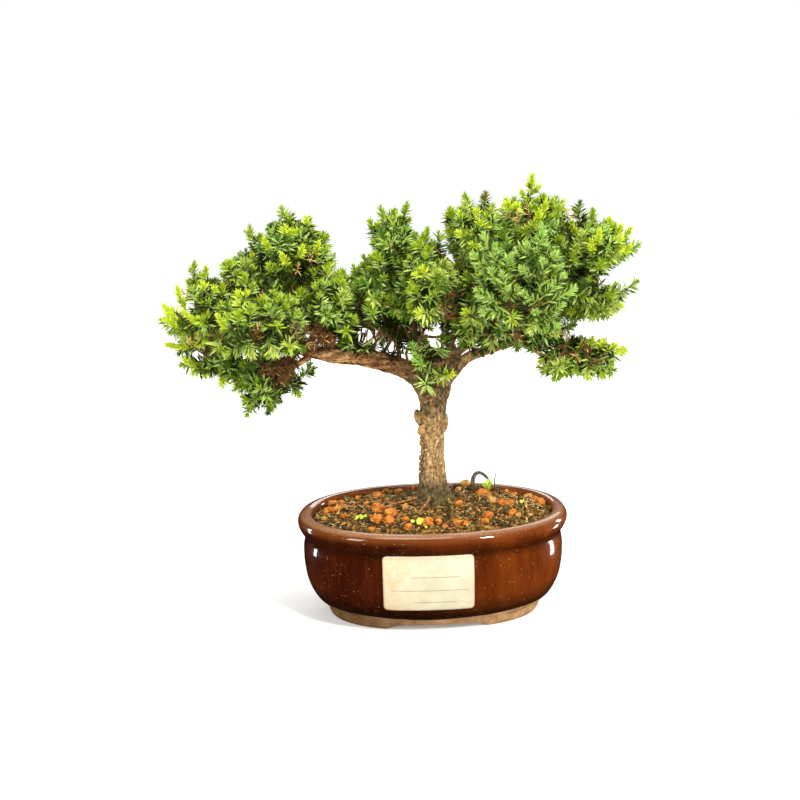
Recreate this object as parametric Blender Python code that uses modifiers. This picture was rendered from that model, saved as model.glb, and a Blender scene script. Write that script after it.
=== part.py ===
# Garden juniper bonsai in its glazed oval pot, built as separate solids
# Metres, Z up, the front of the pot faces -Y
# Tables are in millimetres from the middle of the pot's foot, and MM turns them into metres

import math

import bmesh
import bpy
from mathutils import Vector
from mathutils import noise
from mathutils.bvhtree import BVHTree

MM = 0.001
GAP = 0.3                    # clear space between neighbouring solids

# Pot
POT_HALF_LENGTH = 80.0
POT_NARROWER = 26.1          # the oval's half width is this much less than its half length
POT_HEIGHT = 62.0
POT_STEPS = 28
SOIL_STEPS = 28
OVAL_POWER = 2.2             # 2 is an ellipse, more is squarer
FOOT_OUTER = 62.2
FOOT_INNER = 55.0
FOOT_RECESS = 5.0
ARCH_WIDTH = 58.0
ARCH_HEIGHT = 2.7
ARCH_SLOPE = 5.0             # how far the arch's sides lean in up to its flat top
FLOOR_Z = 11.0

# Sticker on the front of the pot
LABEL_LEFT = -30.5
LABEL_WIDTH = 51.0
LABEL_LOW = 17.0
LABEL_HIGH = 50.5
LABEL_THICK = 0.5
LABEL_COLUMNS = 6

# Soil
SOIL_EDGE_Z = 57.5
SEAT_Z = 65.7
SEAT_RADIUS = 17.0

# Trunk
TRUNK_X = 1.0
TRUNK_Y = 5.0
TRUNK_FOOT_Z = 66.0
TRUNK_SIDES = 14
FLARE_LOBES = 5
FLARE_HEIGHT = 11.0

# Limbs
LIMB_STEP = 0.25
LIMB_POINTS = 6
END_STEPS = 6                # a limb's first and last span are this many steps, so its ends sit square

# Foliage
MASS_SUBDIVISIONS = 3
MASS_WOBBLE = 0.28
TIP_REACH = 0.62             # half angle of the cone that rises to a furthest tip, in radians


def clear_scene():
    for item in list(bpy.data.objects):
        bpy.data.objects.remove(item, do_unlink=True)


def new_collection(name):
    collection = bpy.data.collections.new(name)
    bpy.context.scene.collection.children.link(collection)
    return collection


def plain_material(name, color, roughness):
    material = bpy.data.materials.new(name)
    material.use_nodes = True
    shader = material.node_tree.nodes["Principled BSDF"]
    shader.inputs["Base Color"].default_value = (*color, 1.0)
    shader.inputs["Roughness"].default_value = roughness
    shader.inputs["Metallic"].default_value = 0.0
    material.diffuse_color = (*color, 1.0)
    return material


def new_object(name, data, collection, material=None):
    item = bpy.data.objects.new(name, data)
    collection.objects.link(item)
    if material:
        data.materials.append(material)
    return item


def evaluated_mesh(item):
    graph = bpy.context.evaluated_depsgraph_get()
    return bpy.data.meshes.new_from_object(item.evaluated_get(graph))


def smooth_between(low, high, value):
    share = min(max((value - low) / (high - low), 0.0), 1.0)
    return share * share * (3.0 - 2.0 * share)


# The pot's plan: an oval whose half width follows from its half length
def oval_half_width(half_length):
    narrower = POT_NARROWER * min(1.0, half_length / FOOT_INNER)
    return half_length - narrower


def onto_oval(half_length, angle):
    cosine = math.cos(angle)
    sine = math.sin(angle)
    power = 2.0 / OVAL_POWER
    x = half_length * math.copysign(abs(cosine) ** power, cosine)
    y = oval_half_width(half_length) * math.copysign(abs(sine) ** power, sine)
    return x, y


def oval_depth(half_length, x):
    share = min(abs(x) / half_length, 1.0)
    return oval_half_width(half_length) * (1.0 - share ** OVAL_POWER) ** (1.0 / OVAL_POWER)


# Outer wall from the top of the lip down to the foot: half length and height
OUTER_WALL = [
    (74.5, POT_HEIGHT), (78.4, 61.2), (POT_HALF_LENGTH, 58.4), (79.2, 53.8), (77.2, 48.5),
    (76.8, 36.0), (75.6, 24.0), (72.6, 15.6), (68.8, 10.2), (65.4, 7.0), (FOOT_OUTER, 0.0),
]

# Inner wall from the floor up to the lip
INNER_WALL = [
    (60.0, FLOOR_Z + 0.6), (68.5, 24.0), (71.0, 45.0), (70.0, 55.0), (71.0, 61.0),
]


def pot_profile():
    floor = [(0.0, FLOOR_Z)]
    under = [(FOOT_INNER, 0.0), (FOOT_INNER - 1.0, FOOT_RECESS), (0.0, FOOT_RECESS)]
    return floor + INNER_WALL + OUTER_WALL + under


def wall_at(wall, height):
    """Half length of a wall at a height, straight between its points."""
    ordered = sorted(wall, key=lambda point: point[1])
    for low, high in zip(ordered, ordered[1:]):
        if low[1] <= height <= high[1]:
            share = (height - low[1]) / (high[1] - low[1])
            return low[0] + (high[0] - low[0]) * share
    return ordered[0][0] if height < ordered[0][1] else ordered[-1][0]


def spun_oval(name, profile, steps, collection, middle=(0.0, 0.0)):
    """Turn a profile of half length and height, then press the round shape into the pot's oval."""
    mesh = bpy.data.meshes.new(name + "_profile")
    points = [(a * MM, 0.0, z * MM) for a, z in profile]
    mesh.from_pydata(points, [(i, i + 1) for i in range(len(points) - 1)], [])
    turned = new_object(name + "_turned", mesh, collection)
    screw = turned.modifiers.new("turn", "SCREW")
    screw.steps = steps
    screw.render_steps = steps
    screw.use_merge_vertices = True
    screw.merge_threshold = 0.00001
    screw.use_smooth_shade = False
    shape = evaluated_mesh(turned)
    bpy.data.objects.remove(turned, do_unlink=True)
    for vertex in shape.vertices:
        radius = math.hypot(vertex.co.x, vertex.co.y) / MM
        x, y = onto_oval(radius, math.atan2(vertex.co.y, vertex.co.x))
        pull = 1.0 - min(1.0, radius / FOOT_INNER)
        vertex.co.x = (x + middle[0] * pull) * MM
        vertex.co.y = (y + middle[1] * pull) * MM
    shape.name = name
    return shape


def make_pot(parts, cutters, glaze):
    pot = new_object("pot", spun_oval("pot", pot_profile(), POT_STEPS, parts), parts, glaze)
    shape = bmesh.new()
    bmesh.ops.create_cube(shape, size=2.0 * MM)
    for vertex in shape.verts:
        lean = ARCH_SLOPE * vertex.co.z / MM
        vertex.co.x *= ARCH_WIDTH / 2.0 - lean
        vertex.co.y *= POT_HALF_LENGTH
        vertex.co.z *= ARCH_HEIGHT
    mesh = bpy.data.meshes.new("foot_arch")
    shape.to_mesh(mesh)
    shape.free()
    arch = new_object("foot_arch", mesh, cutters)
    arch.hide_render = True
    arch.display_type = "WIRE"
    cut = pot.modifiers.new("foot arches", "BOOLEAN")
    cut.operation = "DIFFERENCE"
    cut.solver = "EXACT"
    cut.object = arch
    return pot


def make_label(parts, paper):
    bends = sorted(z for _a, z in OUTER_WALL if LABEL_LOW < z < LABEL_HIGH)
    heights = [LABEL_LOW] + bends + [LABEL_HIGH]
    rows = len(heights) - 1
    shape = bmesh.new()
    bmesh.ops.create_grid(shape, x_segments=LABEL_COLUMNS, y_segments=rows, size=0.5)
    for vertex in shape.verts:
        x = LABEL_LEFT + LABEL_WIDTH * (vertex.co.x + 0.5)
        z = heights[round(rows * (vertex.co.y + 0.5))]
        depth = oval_depth(wall_at(OUTER_WALL, z), x) + 1.5 * GAP
        vertex.co = Vector((x, -depth, z)) * MM
    mesh = bpy.data.meshes.new("label")
    shape.to_mesh(mesh)
    shape.free()
    label = new_object("label", mesh, parts, paper)
    thicken = label.modifiers.new("paper", "SOLIDIFY")
    thicken.thickness = LABEL_THICK * MM
    thicken.offset = 1.0
    return label


def make_soil(parts, earth):
    """Fills the pot to just under its lip, and rises to a flat seat under the trunk."""
    top = [(0.0, SEAT_Z), (SEAT_RADIUS, SEAT_Z), (34.0, 64.2), (54.0, 60.2)]
    wall = [(68.9, SOIL_EDGE_Z)]
    for height in (45.0, 24.0, FLOOR_Z + 2.0):
        wall.append((wall_at(INNER_WALL, height) - 3.0 * GAP, height))
    floor = [(55.0, FLOOR_Z + 4.0 * GAP), (0.0, FLOOR_Z + 2.0 * GAP)]
    shape = spun_oval("soil", top + wall + floor, SOIL_STEPS, parts, (TRUNK_X, TRUNK_Y))
    for vertex in shape.vertices:
        radius = math.hypot(vertex.co.x / MM - TRUNK_X, vertex.co.y / MM - TRUNK_Y)
        if vertex.co.z > (SEAT_Z - 0.01) * MM and radius > 1.0:
            grow = SEAT_RADIUS / radius
            vertex.co.x = (TRUNK_X + (vertex.co.x / MM - TRUNK_X) * grow) * MM
            vertex.co.y = (TRUNK_Y + (vertex.co.y / MM - TRUNK_Y) * grow) * MM
    return new_object("soil", shape, parts, earth)


# Trunk: height above the ground, sideways and back from the foot, and radius
TRUNK_LINE = [
    (0.0, 0.0, 0.0, 9.8), (3.0, 0.0, 0.0, 9.2), (6.5, 0.0, 0.0, 8.8), (11.0, -0.2, 0.0, 8.5),
    (18.0, -0.4, 0.0, 8.1), (27.0, -0.2, -0.2, 7.6), (36.0, 0.2, -0.4, 7.3),
    (45.0, 0.8, -0.6, 7.4), (53.0, 1.2, -0.8, 7.6), (60.0, 1.3, -1.0, 8.0),
    (66.0, 1.6, -1.0, 8.6), (71.0, 1.8, -0.8, 8.2), (75.5, 2.0, -0.6, 6.4),
]


def make_trunk(parts, bark):
    """Loft of uneven rings: root flare in lobes at the ground, waist, and the swell of the fork."""
    shape = bmesh.new()
    rings = []
    for height, aside, back, radius in TRUNK_LINE:
        ring = []
        flare = (1.0 - smooth_between(0.0, FLARE_HEIGHT, height)) ** 2
        widen = 1.0 + 0.22 * smooth_between(56.0, 70.0, height)
        for side in range(TRUNK_SIDES):
            angle = 2.0 * math.pi * side / TRUNK_SIDES
            lobe = 0.5 + 0.5 * math.cos(FLARE_LOBES * angle + 0.9)
            ripple = 0.25 * math.sin(3.0 * angle + height * 0.11)
            reach = radius + ripple + flare * (1.0 + 3.2 * lobe)
            x = TRUNK_X + aside + reach * math.cos(angle) * widen
            y = TRUNK_Y + back + reach * math.sin(angle)
            ring.append(shape.verts.new(Vector((x, y, TRUNK_FOOT_Z + height)) * MM))
        rings.append(ring)
    for lower, upper in zip(rings, rings[1:]):
        for side in range(TRUNK_SIDES):
            after = (side + 1) % TRUNK_SIDES
            shape.faces.new((lower[side], lower[after], upper[after], upper[side]))
    shape.faces.new(list(reversed(rings[0])))
    shape.faces.new(rings[-1])
    mesh = bpy.data.meshes.new("trunk")
    shape.to_mesh(mesh)
    shape.free()
    return new_object("trunk", mesh, parts, bark)


# Masses of foliage: middle, half sizes along X, Y and Z, and the furthest shoot tips
MASSES = {
    "left_top": ((-76, 4, 216), (22, 31, 17),
                 [(-79, -4, 241), (-66, -12, 235), (-59, 2, 225), (-52, -10, 214), (-93, 14, 226),
                  (-98, 2, 231)]),
    "left_crown": ((-103, 8, 202), (16, 28, 14),
                   [(-103, 22, 219), (-111, -14, 212), (-112, 24, 212)]),
    "left_outer": ((-127, -4, 185), (21, 32, 20),
                   [(-131, 0, 212), (-125, 10, 207), (-141, -10, 199), (-149, -6, 189), (-154, 8, 178)]),
    "left_front": ((-91, -36, 181), (24, 24, 19),
                   [(-110, -54, 187), (-96, -60, 196), (-76, -52, 167)]),
    "left_low": ((-95, -6, 145), (17, 24, 15),
                 [(-107, -4, 123), (-95, 4, 122), (-84, -8, 131), (-75, 0, 133), (-67, -10, 152)]),
    "left_tip_low": ((-127, 6, 158), (18, 23, 13),
                     [(-150, 0, 166), (-141, 8, 156), (-128, 0, 146), (-119, -2, 140), (-115, -20, 152)]),
    "left_inner": ((-57, -8, 187), (19, 29, 23),
                   [(-46, -12, 173), (-38, -18, 194), (-48, 4, 206), (-64, -10, 164), (-46, -8, 163)]),
    "left_back": ((-94, 42, 188), (29, 25, 23), [(-84, 66, 200), (-116, 54, 190), (-78, 50, 210)]),
    "left_inner_back": ((-51, 36, 176), (19, 20, 12), [(-44, 54, 182), (-62, 52, 170)]),
    "centre_top": ((-18, 2, 218), (13, 29, 19),
                   [(-26, -6, 240), (-12, 4, 240), (-29, 8, 231)]),
    "centre_left": ((-31, 2, 192), (14, 28, 18), [(-46, 0, 201), (-43, -14, 188)]),
    "centre_mid": ((-1, -20, 200), (16, 25, 24), [(1, -14, 228), (6, -34, 212)]),
    "centre_low": ((-13, 16, 175), (16, 22, 13), [(-22, 22, 166)]),
    "centre_back": ((-8, 44, 196), (25, 24, 24), [(-14, 66, 206), (8, 60, 192)]),
    "inner_tuft": ((5, 0, 164), (9, 11, 9), [(10, -8, 156)]),
    "right_top": ((61, 6, 229), (20, 31, 16),
                  [(61, 0, 255), (45, -12, 240), (68, -16, 240), (80, 10, 239)]),
    "right_top_left": ((28, 0, 223), (18, 31, 18),
                       [(33, -2, 246), (23, 4, 244), (13, -6, 236), (17, -24, 235)]),
    "right_front": ((49, -42, 196), (25, 26, 25),
                    [(27, -58, 226), (57, -60, 226), (69, -58, 202), (43, -58, 171), (23, -52, 197)]),
    "right_far_top": ((93, -2, 215), (22, 32, 15),
                      [(88, 4, 238), (94, -4, 234), (104, 0, 229), (114, -8, 225), (117, 4, 211)]),
    "right_far": ((94, 2, 184), (21, 30, 11),
                  [(121, 0, 193), (116, -10, 185), (99, 0, 171), (86, 4, 170)]),
    "right_low": ((86, -10, 152), (23, 30, 12),
                  [(114, -4, 154), (90, -12, 139), (71, -6, 137), (110, 8, 140)]),
    "right_inner": ((25, -12, 182), (17, 26, 20), [(12, -24, 190), (36, -24, 165)]),
    "right_mid": ((66, 6, 168), (22, 28, 13), [(60, -12, 155)]),
    "right_back": ((84, 44, 198), (29, 26, 27), [(86, 68, 208), (112, 54, 196), (70, 62, 219)]),
    "right_back_left": ((36, 44, 196), (22, 25, 26), [(34, 68, 204), (28, 60, 214)]),
    "fork_tuft": ((-5, -23, 147), (8, 10, 14), [(-4, -26, 129), (-6, -28, 163), (4, -24, 150)]),
}

# Masses with fewer faces than the rest
SMALL_MASSES = ("fork_tuft", "inner_tuft", "left_inner_back", "centre_low", "right_mid")


def ellipsoid_reach(half_sizes, direction):
    squares = sum((part / size) ** 2 for part, size in zip(direction, half_sizes))
    return 1.0 / math.sqrt(squares)


def mass_vertices(name, directions):
    """One uneven star-shaped mass, drawn out to its furthest tips."""
    middle, half_sizes, tips = MASSES[name]
    centre = Vector(middle)
    offset = Vector((len(name) * 1.7, middle[0] * 0.13, middle[2] * 0.11))
    points = []
    for direction in directions:
        reach = ellipsoid_reach(half_sizes, direction)
        reach *= 1.0 + MASS_WOBBLE * noise.noise(direction * 2.3 + offset)
        for tip in tips:
            towards = Vector(tip) - centre
            angle = direction.angle(towards)
            peak = towards.length * (1.0 - 0.8 * (angle / TIP_REACH))
            reach = max(reach, peak)
        points.append(direction * reach)
    for tip in tips:
        towards = Vector(tip) - centre
        nearest = min(range(len(points)), key=lambda index: directions[index].angle(towards))
        points[nearest] = towards.copy()
    return points


def held_back(name, points):
    """Keeps each mass on its own side of a plane to each neighbour, half a gap away."""
    middle, half_sizes, _tips = MASSES[name]
    for other, (other_middle, other_sizes, _other_tips) in MASSES.items():
        if other == name:
            continue
        between = Vector(other_middle) - Vector(middle)
        across = between.normalized()
        own = ellipsoid_reach(half_sizes, across)
        theirs = ellipsoid_reach(other_sizes, -across)
        limit = between.length * own / (own + theirs) - GAP / 2.0
        for index, point in enumerate(points):
            ahead = point.dot(across)
            if ahead > limit:
                points[index] = point * (limit / ahead)
    return [Vector(middle) + point for point in points]


def make_masses(parts, leaf_materials):
    masses = {}
    for name in MASSES:
        shape = bmesh.new()
        subdivisions = MASS_SUBDIVISIONS - 1 if name in SMALL_MASSES else MASS_SUBDIVISIONS
        bmesh.ops.create_icosphere(shape, subdivisions=subdivisions, radius=1.0)
        directions = [vertex.co.normalized() for vertex in shape.verts]
        points = held_back(name, mass_vertices(name, directions))
        for vertex, point in zip(shape.verts, points):
            vertex.co = point * MM
        mesh = bpy.data.meshes.new(name)
        shape.to_mesh(mesh)
        shape.free()
        material = leaf_materials[len(masses) % len(leaf_materials)]
        masses[name] = new_object(name, mesh, parts, material)
    return masses


# Limbs: points that the middle line passes through, and the radius at its start and end
LIMBS = {
    "left_bough": ([(1, 4, 131), (-5, 3, 139.5), (-14, 1, 146.5), (-34, -3, 153.5), (-58, -5, 157.5),
                    (-76, -4, 162), (-98, -3, 172)], 6.6, 2.8),
    "left_low_bough": ([(-68, -9, 157), (-74, -11, 154), (-90, -10, 144)], 2.2, 1.4),
    "right_bough": ([(4, 3, 132), (9, 2, 138), (15, 1, 145), (22, -1, 152), (33, -1, 156),
                     (48, 0, 160), (66, 2, 166)], 5.0, 1.8),
    "right_low_bough": ([(50, -1, 161), (54, -5.5, 158), (63, -8, 154), (71, -9, 149.5), (84, -9, 149)],
                        1.8, 1.2),
    "middle_bough": ([(1, 5, 138), (-2, 5, 150), (-6, 7, 160), (-10, 12, 176)], 4.6, 2.2),
    "inner_right_bough": ([(4, 7, 139), (11, 7, 152), (14, 4, 162), (20, -4, 178)], 3.2, 1.9),
    "back_left_bough": ([(-2, 7, 138), (-14, 12, 143.5), (-34, 21, 148.5), (-54, 29, 154), (-70, 34, 167),
                         (-84, 38, 184)], 3.4, 1.7),
    "back_right_bough": ([(5, 9, 138), (18, 18, 152), (38, 28, 164), (72, 42, 190)], 3.4, 1.7),
    "fork_twig": ([(-3, -2, 138), (-4, -10, 141), (-5, -22, 146)], 1.6, 1.0),
}


def spline_point(points, place):
    """Smooth curve through all the points, place running from 0 to the number of spans."""
    spans = len(points) - 1
    span = min(int(place), spans - 1)
    share = place - span
    before = points[max(span - 1, 0)]
    start = points[span]
    end = points[span + 1]
    after = points[min(span + 2, spans)]
    return 0.5 * (
        2.0 * start + (end - before) * share
        + (2.0 * before - 5.0 * start + 4.0 * end - after) * share ** 2
        + (3.0 * start - 3.0 * end + after - before) * share ** 3)


def fine_line(points):
    vectors = [Vector(point) for point in points]
    spans = len(vectors) - 1
    length = sum((b - a).length for a, b in zip(vectors, vectors[1:]))
    count = int(length / LIMB_STEP)
    return [spline_point(vectors, spans * step / count) for step in range(count + 1)]


def surface_tree(items):
    """One search tree over the faces of several solids, in millimetres."""
    vertices = []
    faces = []
    for item in items:
        mesh = evaluated_mesh(item)
        start = len(vertices)
        vertices += [item.matrix_world @ vertex.co / MM for vertex in mesh.vertices]
        faces += [tuple(start + index for index in face.vertices) for face in mesh.polygons]
    return BVHTree.FromPolygons(vertices, faces)


def is_inside(tree, point):
    """Counts the faces that a slanting ray crosses: an odd number means inside a solid."""
    direction = Vector((0.31, 0.47, 0.83)).normalized()
    crossings = 0
    spot = tree.ray_cast(point, direction)[0]
    while spot:
        crossings += 1
        spot = tree.ray_cast(spot + direction * 0.0005, direction)[0]
    return crossings % 2 == 1


def is_clear(tree, line, index, radius):
    """True where a round section of a limb keeps the gap to every solid in the tree."""
    along = (line[min(index + 1, len(line) - 1)] - line[max(index - 1, 0)]).normalized()
    side = along.orthogonal().normalized()
    other = along.cross(side)
    for step in range(16):
        angle = 2.0 * math.pi * step / 16.0
        for reach in (0.5 * radius, radius):
            point = line[index] + reach * (side * math.cos(angle) + other * math.sin(angle))
            if tree.find_nearest(point)[3] < GAP or is_inside(tree, point):
                return False
    return not is_inside(tree, line[index])


def make_limb(name, carriers, masses, parts, bark):
    """A tapering limb, from just clear of what carries it to just clear of the mass it enters."""
    points, start_radius, end_radius = LIMBS[name]
    line = fine_line(points)
    count = len(line)
    radii = [start_radius + (end_radius - start_radius) * index / (count - 1) for index in range(count)]
    first = 0
    while first < count - 2 and not is_clear(carriers, line, first, radii[first]):
        first += 1
    last = first + 1
    while last < count - 1 and is_clear(masses, line, last + 1, radii[last + 1]):
        last += 1
    curve = bpy.data.curves.new(name, "CURVE")
    curve.dimensions = "3D"
    curve.bevel_depth = MM
    curve.bevel_resolution = 2 if start_radius > 3.0 else 1
    curve.use_fill_caps = True
    inner = [first + END_STEPS + (last - first - 2 * END_STEPS) * number // (LIMB_POINTS - 1)
             for number in range(LIMB_POINTS)]
    places = [first] + inner + [last]
    spline = curve.splines.new("POLY")
    spline.points.add(len(places) - 1)
    for point, index in zip(spline.points, places):
        point.co = (*(line[index] * MM), 1.0)
        point.radius = radii[index]
    return new_object(name, curve, parts, bark)


def middle_on_origin(items):
    """Brings the middle of the whole object's footprint to the origin, the foot stays at Z 0."""
    graph = bpy.context.evaluated_depsgraph_get()
    xs = []
    ys = []
    for item in items:
        mesh = item.evaluated_get(graph).to_mesh()
        for vertex in mesh.vertices:
            place = item.matrix_world @ vertex.co
            xs.append(place.x)
            ys.append(place.y)
    shift = Vector((-(min(xs) + max(xs)) / 2.0, -(min(ys) + max(ys)) / 2.0, 0.0))
    for item in bpy.data.objects:
        item.location += shift
    print("pot middle at", [round(part / MM, 3) for part in shift])


def main():
    clear_scene()
    parts = new_collection("juniper_bonsai")
    cutters = new_collection("cutters")
    glaze = plain_material("brown_glaze", (0.16, 0.05, 0.02), 0.15)
    paper = plain_material("cream_paper", (0.85, 0.81, 0.69), 0.6)
    earth = plain_material("dark_soil", (0.05, 0.035, 0.02), 0.95)
    bark = plain_material("tan_bark", (0.36, 0.25, 0.13), 0.85)
    leaf_materials = [
        plain_material("green_needles", (0.08, 0.20, 0.04), 0.6),
        plain_material("deep_green_needles", (0.04, 0.12, 0.03), 0.6),
        plain_material("blue_green_needles", (0.12, 0.26, 0.14), 0.6),
    ]
    items = [
        make_pot(parts, cutters, glaze),
        make_label(parts, paper),
        make_soil(parts, earth),
    ]
    trunk = make_trunk(parts, bark)
    masses = make_masses(parts, leaf_materials)
    bpy.context.view_layer.update()
    mass_tree = surface_tree(masses.values())
    limbs = []
    for name in LIMBS:
        carrier_tree = surface_tree([trunk] + limbs)
        limbs.append(make_limb(name, carrier_tree, mass_tree, parts, bark))
    middle_on_origin(items + [trunk] + list(masses.values()) + limbs)


main()
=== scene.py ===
# Garden juniper bonsai: bark, needles, glazed pot, sticker and soil, built around the fixed frame
# Tables are in millimetres from the middle of the pot's foot; toFrame() puts them in the frame's metres

import math
import random

import bmesh
import bpy
import numpy as np
from mathutils import Matrix, Vector, noise
from mathutils.bvhtree import BVHTree
from mathutils.kdtree import KDTree


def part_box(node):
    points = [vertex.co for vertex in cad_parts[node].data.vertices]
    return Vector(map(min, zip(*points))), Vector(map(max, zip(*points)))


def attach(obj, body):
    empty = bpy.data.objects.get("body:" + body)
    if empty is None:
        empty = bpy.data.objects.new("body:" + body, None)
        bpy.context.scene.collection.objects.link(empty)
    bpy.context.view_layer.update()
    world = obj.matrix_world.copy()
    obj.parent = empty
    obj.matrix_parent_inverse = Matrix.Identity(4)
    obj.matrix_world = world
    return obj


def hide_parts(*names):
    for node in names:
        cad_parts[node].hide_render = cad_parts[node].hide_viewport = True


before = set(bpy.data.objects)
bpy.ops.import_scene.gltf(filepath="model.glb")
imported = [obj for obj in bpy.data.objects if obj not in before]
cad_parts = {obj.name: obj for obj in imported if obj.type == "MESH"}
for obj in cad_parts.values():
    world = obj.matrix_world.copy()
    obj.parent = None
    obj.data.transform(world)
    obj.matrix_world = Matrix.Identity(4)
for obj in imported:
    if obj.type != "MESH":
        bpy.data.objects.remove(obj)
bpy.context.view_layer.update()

mm = 0.001
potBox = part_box("pot")
potMiddle = Vector(((potBox[0].x + potBox[1].x) / 2, (potBox[0].y + potBox[1].y) / 2, 0.0))
limbNames = [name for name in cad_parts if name.endswith(("bough", "fork_twig"))]
otherNodes = ["pot", "label", "soil", "trunk"] + limbNames
massNames = sorted(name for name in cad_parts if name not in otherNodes)


# Small helpers

def toFrame(point):
    return potMiddle + Vector(point) * mm


def linear(red, green, blue):
    # screen colour, 0 to 255, as the shader's own colour
    parts = [value / 255 for value in (red, green, blue)]
    return (*[part / 12.92 if part < 0.04045 else ((part + 0.055) / 1.055) ** 2.4 for part in parts], 1.0)


def smoothStep(low, high, value):
    share = min(max((value - low) / (high - low), 0.0), 1.0)
    return share * share * (3 - 2 * share)


def splinePoint(points, place):
    spans = len(points) - 1
    span = min(int(place), spans - 1)
    share = place - span
    before = points[max(span - 1, 0)]
    start = points[span]
    end = points[span + 1]
    after = points[min(span + 2, spans)]
    return 0.5 * (2 * start + (end - before) * share
                  + (2 * before - 5 * start + 4 * end - after) * share ** 2
                  + (3 * start - 3 * end + after - before) * share ** 3)


def smoothLine(points, perSpan):
    points = [Vector(point) for point in points]
    count = (len(points) - 1) * perSpan
    return [splinePoint(points, step / perSpan) for step in range(count + 1)]


def addItem(name, data):
    item = bpy.data.objects.new(name, data)
    bpy.context.scene.collection.objects.link(item)
    return item


def finishPiece(name, mesh, materials, smooth=True):
    mesh.name = name
    mesh.materials.clear()
    for material in materials:
        mesh.materials.append(material)
    mesh.polygons.foreach_set("use_smooth", [smooth] * len(mesh.polygons))
    mesh.update()
    piece = addItem(name, mesh)
    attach(piece, "root")
    return piece


def meshOf(shape):
    mesh = bpy.data.meshes.new("work")
    shape.to_mesh(mesh)
    shape.free()
    return mesh


def inFrame(shape):
    # a bmesh drawn in millimetres from the pot's middle goes to its place in the frame
    for vertex in shape.verts:
        vertex.co = toFrame(vertex.co)
    return shape


def evaluatedMesh(item):
    # the mesh that the item's modifiers or bevel make; the item itself goes
    graph = bpy.context.evaluated_depsgraph_get()
    mesh = bpy.data.meshes.new_from_object(item.evaluated_get(graph))
    bpy.data.objects.remove(item)
    return mesh


def spun(profile, steps):
    # a closed body: a profile of (radius, height) turned about the upright axis
    shape = bmesh.new()
    line = [shape.verts.new((radius, 0.0, height)) for radius, height in profile]
    edges = [shape.edges.new(pair) for pair in zip(line, line[1:])]
    bmesh.ops.spin(shape, geom=line + edges, cent=(0, 0, 0), axis=(0, 0, 1), angle=2 * math.pi,
                   steps=steps, use_merge=True)
    bmesh.ops.remove_doubles(shape, verts=shape.verts, dist=0.001)
    bmesh.ops.recalc_face_normals(shape, faces=shape.faces)
    return shape


def stamp(shape, mesh, size, spin, place):
    # adds a sized, turned and placed copy of a mesh
    before = len(shape.verts)
    shape.from_mesh(mesh)
    shape.verts.ensure_lookup_table()
    for vertex in shape.verts[before:]:
        vertex.co = place + spin @ (size @ vertex.co)


def tubes(name, lines, sides):
    # one joined mesh of round tapering tubes; each line is (points, radii) in millimetres
    curve = bpy.data.curves.new(name, "CURVE")
    curve.dimensions = "3D"
    curve.bevel_depth = mm
    curve.bevel_resolution = sides
    curve.use_fill_caps = True
    for points, radii in lines:
        spline = curve.splines.new("POLY")
        spline.points.add(len(points) - 1)
        for knot, point, radius in zip(spline.points, points, radii):
            knot.co = (*toFrame(point), 1.0)
            knot.radius = radius
    return evaluatedMesh(addItem(name, curve))


def copies(template, turns, places):
    # one joined mesh of many turned and placed copies of a small mesh, from arrays in millimetres
    turns, places = np.array(turns), np.array(places)
    corners = np.array([vertex.co for vertex in template.vertices])
    faces = [list(face.vertices) for face in template.polygons]
    slots = np.array([face.material_index for face in template.polygons])
    count = len(places)
    points = np.einsum("nij,kj->nki", turns, corners) + places[:, None, :]
    points = points.reshape(-1, 3) * mm + np.array(potMiddle)
    ring = np.array([index for face in faces for index in face])
    loops = (ring[None, :] + (np.arange(count) * len(corners))[:, None]).ravel()
    totals = np.tile([len(face) for face in faces], count)
    starts = np.concatenate(([0], np.cumsum(totals)[:-1]))
    mesh = bpy.data.meshes.new("copies")
    mesh.vertices.add(len(points))
    mesh.vertices.foreach_set("co", points.astype(np.float32).ravel())
    mesh.loops.add(len(loops))
    mesh.loops.foreach_set("vertex_index", loops.astype(np.int32))
    mesh.polygons.add(len(totals))
    mesh.polygons.foreach_set("loop_start", starts.astype(np.int32))
    mesh.polygons.foreach_set("material_index", np.tile(slots, count).astype(np.int32))
    mesh.update(calc_edges=True)
    return mesh


needle = {"wide": 0.18, "foot": 0.5, "keel": 0.05, "belly": 0.48}      # shares of a needle's length


def needleTemplate():
    # one needle a unit long: narrow foot, widest near the middle, keel below, sharp tip
    shape = bmesh.new()
    half = needle["wide"] / 2
    foot = half * needle["foot"]
    for corner in ((0, foot, 0), (0, -foot, 0), (needle["belly"], half, needle["keel"]),
                   (needle["belly"], -half, needle["keel"]), (1.0, 0, 0)):
        shape.verts.new(corner)
    bmesh.ops.convex_hull(shape, input=shape.verts)
    bmesh.ops.recalc_face_normals(shape, faces=shape.faces)
    for face in shape.faces:
        # the upper faces take the paler colour: partly the needle's own pale band, partly painted highlight
        face.material_index = 1 if face.normal.z > 0.2 else 0
    return meshOf(shape)


def frameAlong(way, upper, length, width):
    # columns that turn the needle's template to lie along way, this long and wide
    side = upper.cross(way).normalized()
    scale = width / needle["wide"]
    return np.array([way * length, side * scale, way.cross(side) * scale]).T


# Materials: node trees with short ways to add to them

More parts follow.
